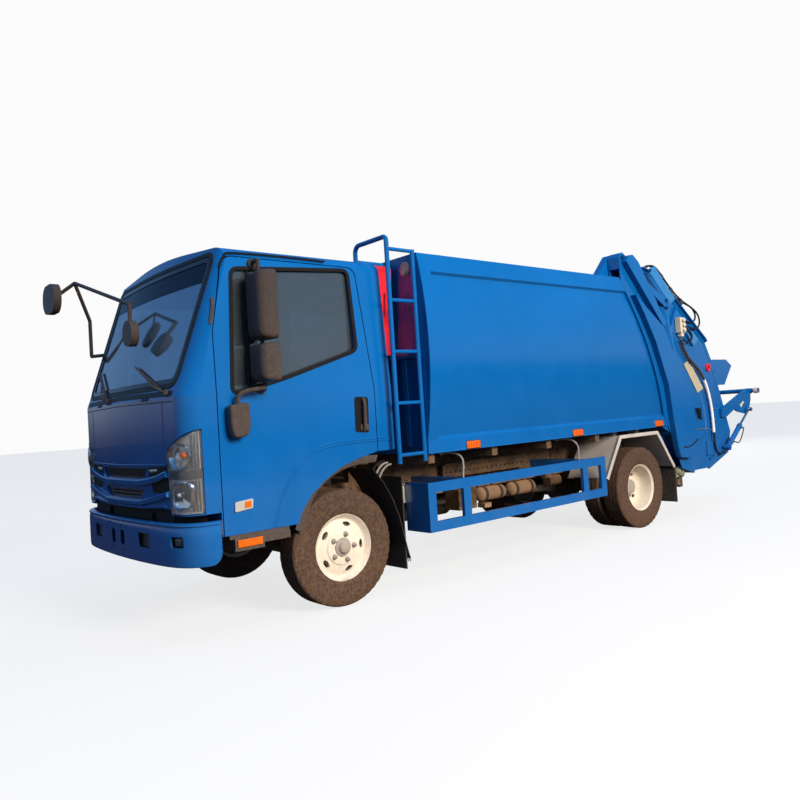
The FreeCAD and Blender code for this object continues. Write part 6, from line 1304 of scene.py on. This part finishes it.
@both
def gate_plates(hand):
    """Ribs, brackets, covers and pins on the tailgate's side."""
    ribs = Piece("gate_ribs_*", "tailgate", "body_blue", hand)
    for a, b, tall in (((4958, 1375), (5140, 1536), 3), ((4200, 1960), (4330, 2180), 30),
                       ((4560, 760), (5040, 876), 30), ((4820, 520), (5260, 640), 30)):
        ribs.strip([(GATE_SIDE, *a), (GATE_SIDE, *b)], 12, tall, 4)
    ribs.plate(GATE_SIDE, [(4780, 717), (4967, 700), (4952, 560), (4775, 560)], 16, 6).done(40, bevel=2)
    bracket = Piece("gate_bracket_*", "tailgate", "light_blue", hand)
    bracket.plate(GATE_SIDE, [(4499, 1900), (4629, 1925), (4726, 1834), (4625, 1760)], 34, 20)
    bracket.done(40, bevel=3)
    cover = Piece("gate_cover_plate_*", "tailgate", "beige_plate", hand)
    cover.plate(GATE_SIDE, [(4434, 1567), (4541, 1617), (4802, 1299), (4676, 1253)], 9, 6).done(40, bevel=2)
    link_cover = Piece("slide_link_cover_*", "tailgate", "light_blue", hand)
    link_cover.plate(1004, [(3670, 2508), (3801, 2552), (4150, 2236), (4040, 2178)], 6, 14).done(40, bevel=2)
    pins = Piece("gate_pins_*", "tailgate", "dark_blue", hand)
    for x, y, z, r in ((1010, 3239, 2588, 26), (1008, 3968, 2213, 20), (1006, 3968, 2135, 15),
                       (1008, 3700, 2500, 15)):
        pins.lathe([(0, 0), (0, r), (10, r), (16, r * 0.86), (16, 0)], (x, y, z), steps=24)
        pins.lathe([(14, 0), (14, r * 0.35), (22, r * 0.3), (22, 0)], (x, y, z), steps=6)
    pins.done(40)
    ring = Piece("gate_ring_*", "tailgate", "red_paint", hand)
    ring.lathe([(0, 20), (0, 44), (20, 44), (24, 40), (24, 24), (20, 20)], (GATE_SIDE, 4936, 1529),
               steps=32).done(40)


@both
def gate_valve(hand):
    """The valve block with its solenoids, the hose ends and the clips."""
    valve = Piece("gate_valve_*", "tailgate", "cream", hand)
    valve.box((884, 4318, 1900), (950, 4408, 2062)).box((890, 4340, 1860), (940, 4390, 1902))
    for z in (1930, 1980, 2030):
        valve.lathe([(0, 0), (0, 21), (26, 20), (30, 12), (30, 0)], (950, 4364, z), steps=18)
    valve.done(40, bevel=4)
    ends = Piece("gate_hose_ends_*", "tailgate", "zinc", hand)
    for x, y, z, way in ((922, 4412, 2040, Y), (922, 4412, 1990, Y), (922, 4412, 1940, Y),
                         (922, 4364, 1862, -Z), (900, 3790, 2560, -Y - Z * 0.5),
                         (900, 3850, 2575, -Y - Z * 0.5)):
        fitting(ends, (x, y, z), way, 12)
    for a, b in (((4535, 865), (4885, 848)), ((4902, 1074), (5075, 1064))):
        ends.rod((GATE_SIDE + 6, *a), (GATE_SIDE + 6, *b), 5, 10)
    ends.done(40)
    clips = Piece("gate_hose_clips_*", "tailgate", "black_plastic", hand)
    for y, z in ((4060, 2478), (4230, 2345), (4420, 2235)):
        clips.box((880, y - 26, z - 26), (928, y + 26, z + 26), Matrix.Rotation(math.radians(-36), 3, "X"),
                  (900, y, z))
    clips.done(bevel=4)


GATE_HOSES = {
    "gate_hose_upper_*": (902, [(3790, 2560), (3850, 2590), (3960, 2555), (4100, 2450), (4240, 2335),
                                (4400, 2245), (4560, 2215), (4690, 2170), (4730, 2090), (4680, 2030),
                                (4560, 2020), (4470, 2036), (4440, 2040)]),
    "gate_hose_middle_*": (914, [(3850, 2575), (3930, 2590), (4030, 2530), (4150, 2430), (4280, 2330),
                                 (4440, 2245), (4620, 2190), (4760, 2120), (4790, 2030), (4740, 1960),
                                 (4620, 1950), (4500, 1982), (4440, 1990)]),
    "gate_hose_lower_*": (926, [(4412, 1940), (4470, 1938), (4560, 1910), (4580, 1850), (4520, 1800),
                                (4430, 1810), (4372, 1840), (4364, 1858)])}
LIFTER_HOSE = [(4364, 1822), (4368, 1790), (4400, 1730), (4470, 1640), (4580, 1570), (4700, 1490),
               (4800, 1370), (4860, 1230), (4895, 1080), (4905, 940), (4908, 800), (4908, 690), (4935, 600),
               (5010, 560), (5090, 572), (5126, 612), (5130, 640)]
COLUMN_HOSE = [(3990, 722), (4050, 716), (4120, 722), (4180, 738), (4230, 762), (4270, 782)]


@both
def gate_hoses(hand):
    """The hoses on the tailgate; the lifter's has a white sleeve below and a spiral guard above."""
    for name, (x, route) in GATE_HOSES.items():
        hose(name, "tailgate", [(x, y, z) for y, z in route], 19, "black_hose", hand)
    route = hose("lifter_hose_*", "tailgate", [(916, y, z) for y, z in LIFTER_HOSE], 22, "black_hose", hand)
    sleeve = Piece("lifter_hose_sleeve_*", "tailgate", "white", hand)
    sleeve.tube([p for p in route if 0.8 < p.z < 1.4], 16.5, 14).done(60)
    guarded = [p for p in route if 1.42 < p.z < 1.8]
    turns = []
    count = len(guarded) * 10
    for k in range(count):
        along = k / (count - 1) * (len(guarded) - 1)
        i = min(int(along), len(guarded) - 2)
        aside = (guarded[i + 1] - guarded[i]).normalized().cross(X).normalized()
        turn = aside * math.cos(k * 1.05) + X * math.sin(k * 1.05)
        turns.append(guarded[i].lerp(guarded[i + 1], along - i) + turn * 0.0145)
    Piece("lifter_hose_spiral_*", "tailgate", "black_plastic", hand).tube(turns, 3, 5).done(60)
    hose("column_hose_*", "tailgate", [(COLUMN_OUT + 6, y, z) for y, z in COLUMN_HOSE], 12, "black_hose", hand)


# Bin lifter and the cylinders

BIN_FOOT, BIN_EYE = Vector((5138, 622)), Vector((5713, 1023))
GATE_FOOT, GATE_EYE = Vector((3905, 890)), Vector((3480, 2270))
SLIDE_TOP = Vector((3940, 2250))
SLIDE_DOWN = Vector((math.sin(math.radians(14)), -math.cos(math.radians(14))))


def band(piece, spot, way, wide, inner, outer, steps=24):
    """A clamp ring round a cylinder; its spot and way are flat, of y and z."""
    profile = [(0, inner), (0, outer), (wide, outer), (wide, inner)]
    piece.lathe(profile, (CYLINDER, *spot), Vector((0, *way)), steps)


@both
def lifter_gear(hand):
    """The lug and pin that take the rod's eye, the plate, and the plugged tube end."""
    lug = Piece("lifter_lug_*", "bin_lifter", "body_blue", hand)
    lug.plate(888, [(5400, 1075), (5860, 1228), (5872, 1150), (5790, 990), (5740, 972), (5690, 978),
                    (5500, 1010)],
              20, [10, 10, 30, 30, 30, 30, 40])
    lug.rod((900, *BIN_EYE), (980, *BIN_EYE), 11.2)
    lug.lathe([(0, 0), (0, 22), (8, 20), (10, 0)], (976, *BIN_EYE), steps=20).done(40, bevel=2)
    patch = Piece("lifter_plate_*", "bin_lifter", "cream", hand)
    patch.plate(908, [(5560, 1105), (5640, 1160), (5680, 1110), (5600, 1050)], 4, 12).done(40)
    tube_end = (1010, 5870, 1240)
    tip = Piece("lifter_tube_end_*", "bin_lifter", "cream", hand)
    tip.lathe([(-50, 28.2), (-50, 34), (-8, 34), (-6, 28.2)], tube_end, steps=28).done(40)
    plug = Piece("lifter_tube_plug_*", "bin_lifter", "black_plastic", hand)
    plug.lathe([(-4, 0), (-4, 27), (0, 27), (2, 20), (-1, 16), (-1, 0)], tube_end, steps=28).done(40)


@both
def cylinder_bands(hand):
    """Bands, gland and hose of the bin cylinder, and the bands of the lift and slide cylinders."""
    bin_bands = Piece("lifter_barrel_bands_*", "bin_barrel", "rod_steel", hand)
    run = BIN_EYE - BIN_FOOT
    for share in (0.12, 0.52):
        band(bin_bands, BIN_FOOT + run * share, run, 24, 28, 31.5)
    bin_bands.lathe([(0, 13.5), (0, 24), (8, 22), (10, 13.5)], (CYLINDER, *(BIN_FOOT + run * 0.575)),
                    Vector((0, *run)), 24)
    low, high = BIN_FOOT + run * 0.14, BIN_FOOT + run * 0.5
    for spot in (low, high):
        fitting(bin_bands, (972, *spot), X * hand, 9)
    bin_bands.done(40)
    hose("lifter_barrel_hose_*", "bin_barrel", [
        (1008, *high), (1014, high.x - 20, high.y - 25), (1016, high.x - 90, high.y - 110),
        (1016, low.x + 60, low.y - 10), (1014, low.x + 15, low.y - 15), (1008, *low)], 12, "black_hose", hand)
    lift_bands = Piece("lift_barrel_bands_*", "gate_barrel", "rod_steel", hand)
    run = GATE_EYE - GATE_FOOT
    for share in (0.06, 0.555):
        band(lift_bands, GATE_FOOT + run * share, run, 26, 36, 39.5)
    lift_bands.done(40)
    slide_bands = Piece("slide_barrel_bands_*", "tailgate", "dark_blue", hand)
    for start, wide in ((40, 40), (980, 50), (1060, 44)):
        band(slide_bands, SLIDE_TOP + SLIDE_DOWN * start, SLIDE_DOWN, wide, 52, 57.5, 28)
    slide_bands.done(40)


# Lamps and plate holder at the rear

TAIL_LENSES = [("tail_lens_*", "red_lens", 700, 785), ("tail_turn_*", "amber", 787, 862),
               ("tail_reverse_*", "lamp_clear", 864, 940)]
nodes["tail_lamps"].data.materials[0] = M["black_plastic"]


@both
def rear_lamps(hand):
    """Three lenses on each tail lamp, and a cluster of work lamps on its bracket."""
    for name, material, x0, x1 in TAIL_LENSES:
        Piece(name, "root", material, hand).box((x0, 4119, 312), (x1, 4126, 408)).done(bevel=3)
    cluster = Piece("work_lamp_*", "root", "dull_lamp", hand)
    for x, y, z, r in ((940, 4052, 470, 44), (905, 4030, 440, 36), (960, 4095, 440, 34)):
        profile = [(-50, 0), (-45, r * 0.5), (-20, r * 0.9), (10, r), (16, r * 0.92), (12, r * 0.8), (6, 0)]
        cluster.lathe(profile, (x, y, z), Y + X * hand * 0.4 - Z * 0.2, 24)
    cluster.box((890, 4005, 410), (950, 4060, 455)).done(45)
    stalk = Piece("work_lamp_bracket_*", "root", "frame_paint", hand)
    stalk.box((880, 3990, 400), (940, 4030, 420)).rod((915, 4010, 340), (915, 4010, 440), 12, 12).done(bevel=2)


Piece("rear_plate_holder", "root", "black_plastic").box((-230, 4056, 300), (230, 4064, 400)).done(bevel=2)

# Floor: pale with a soft shadow to the camera, dark ground to the light that it throws back

FLOOR_HALF = 60
ground = bpy.data.meshes.new("floor")
ground.from_pydata([(*p, 0) for p in rectangle(-FLOOR_HALF, -FLOOR_HALF, FLOOR_HALF, FLOOR_HALF)], [],
                   [(0, 1, 2, 3)])
floor = link("floor", ground)
pale = finish("pale_floor", (0.8, 0.8, 0.8), 0.8, (0.03, 0.6), (0.02, 60))
floor.data.materials.append(pale)
tree = pale.node_tree
shine = put(tree, "Emission", Strength=0.96).outputs["Emission"]
blend = put(tree, "MixShader", 0.8, tree.nodes["Principled BSDF"].outputs["BSDF"], shine).outputs["Shader"]
dark = put(tree, "BsdfDiffuse", Color=(0.07, 0.055, 0.045, 1)).outputs["BSDF"]
choice = put(tree, "MixShader", put(tree, "LightPath").outputs["Is Camera Ray"], dark, blend)
tree.links.new(choice.outputs["Shader"], tree.nodes["Material Output"].inputs["Surface"])

# Sky: a soft gradient from dark ground to blue, plain white behind the truck

SKY = [(0.40, (0.10, 0.075, 0.06)), (0.495, (0.13, 0.11, 0.10)), (0.515, (0.50, 0.56, 0.64)),
       (0.58, (0.26, 0.46, 0.78)), (0.75, (0.08, 0.28, 0.66)), (1.0, (0.05, 0.2, 0.52))]
world = bpy.data.worlds.new("sky")
bpy.context.scene.world = world
world.use_nodes = True
tree = world.node_tree
height = put(tree, "SeparateXYZ", Vector=put(tree, "TexCoord").outputs["Generated"]).outputs["Z"]
share = put(tree, "MapRange", Value=height, From_Min=-1, From_Max=1).outputs["Result"]
ramp = put(tree, "ValToRGB", Fac=share)
for spot, color in SKY[1:-1]:
    ramp.color_ramp.elements.new(spot)
for element, (spot, color) in zip(ramp.color_ramp.elements, SKY):
    element.position = spot
    element.color = (*color, 1)
back = tree.nodes["Background"]
tree.links.new(ramp.outputs["Color"], back.inputs["Color"])
back.inputs["Strength"].default_value = 0.75
plain = put(tree, "Background", Color=(0.97, 0.97, 0.97, 1)).outputs["Background"]
seen = put(tree, "LightPath").outputs["Is Camera Ray"]
either = put(tree, "MixShader", seen, back.outputs["Background"], plain)
tree.links.new(either.outputs["Shader"], tree.nodes["World Output"].inputs["Surface"])


def lamp(name, place, aim, size_m, power, color=(1, 1, 1)):
    """A soft square lamp."""
    data = bpy.data.lights.new(name, "AREA")
    data.shape = "SQUARE"
    data.size = size_m
    data.energy = power
    data.color = color
    thing = link(name, data)
    thing.location = place
    thing.visible_glossy = False
    thing.rotation_mode = "QUATERNION"
    thing.rotation_quaternion = (Vector(aim) - Vector(place)).to_track_quat("-Z", "Y")


lamp("key", (12, -1.5, 5.5), (0, -1.4, 1.0), 4, 2600, (1, 0.88, 0.74))
lamp("sky", (3, 0, 12), (0, 0, 0), 9, 500, (0.85, 0.93, 1))
lamp("front", (-2, -12, 5), (0, -2, 1), 5, 60)
lamp("rear", (-5, 11, 6), (0, 2, 1), 6, 600, (1, 0.93, 0.85))
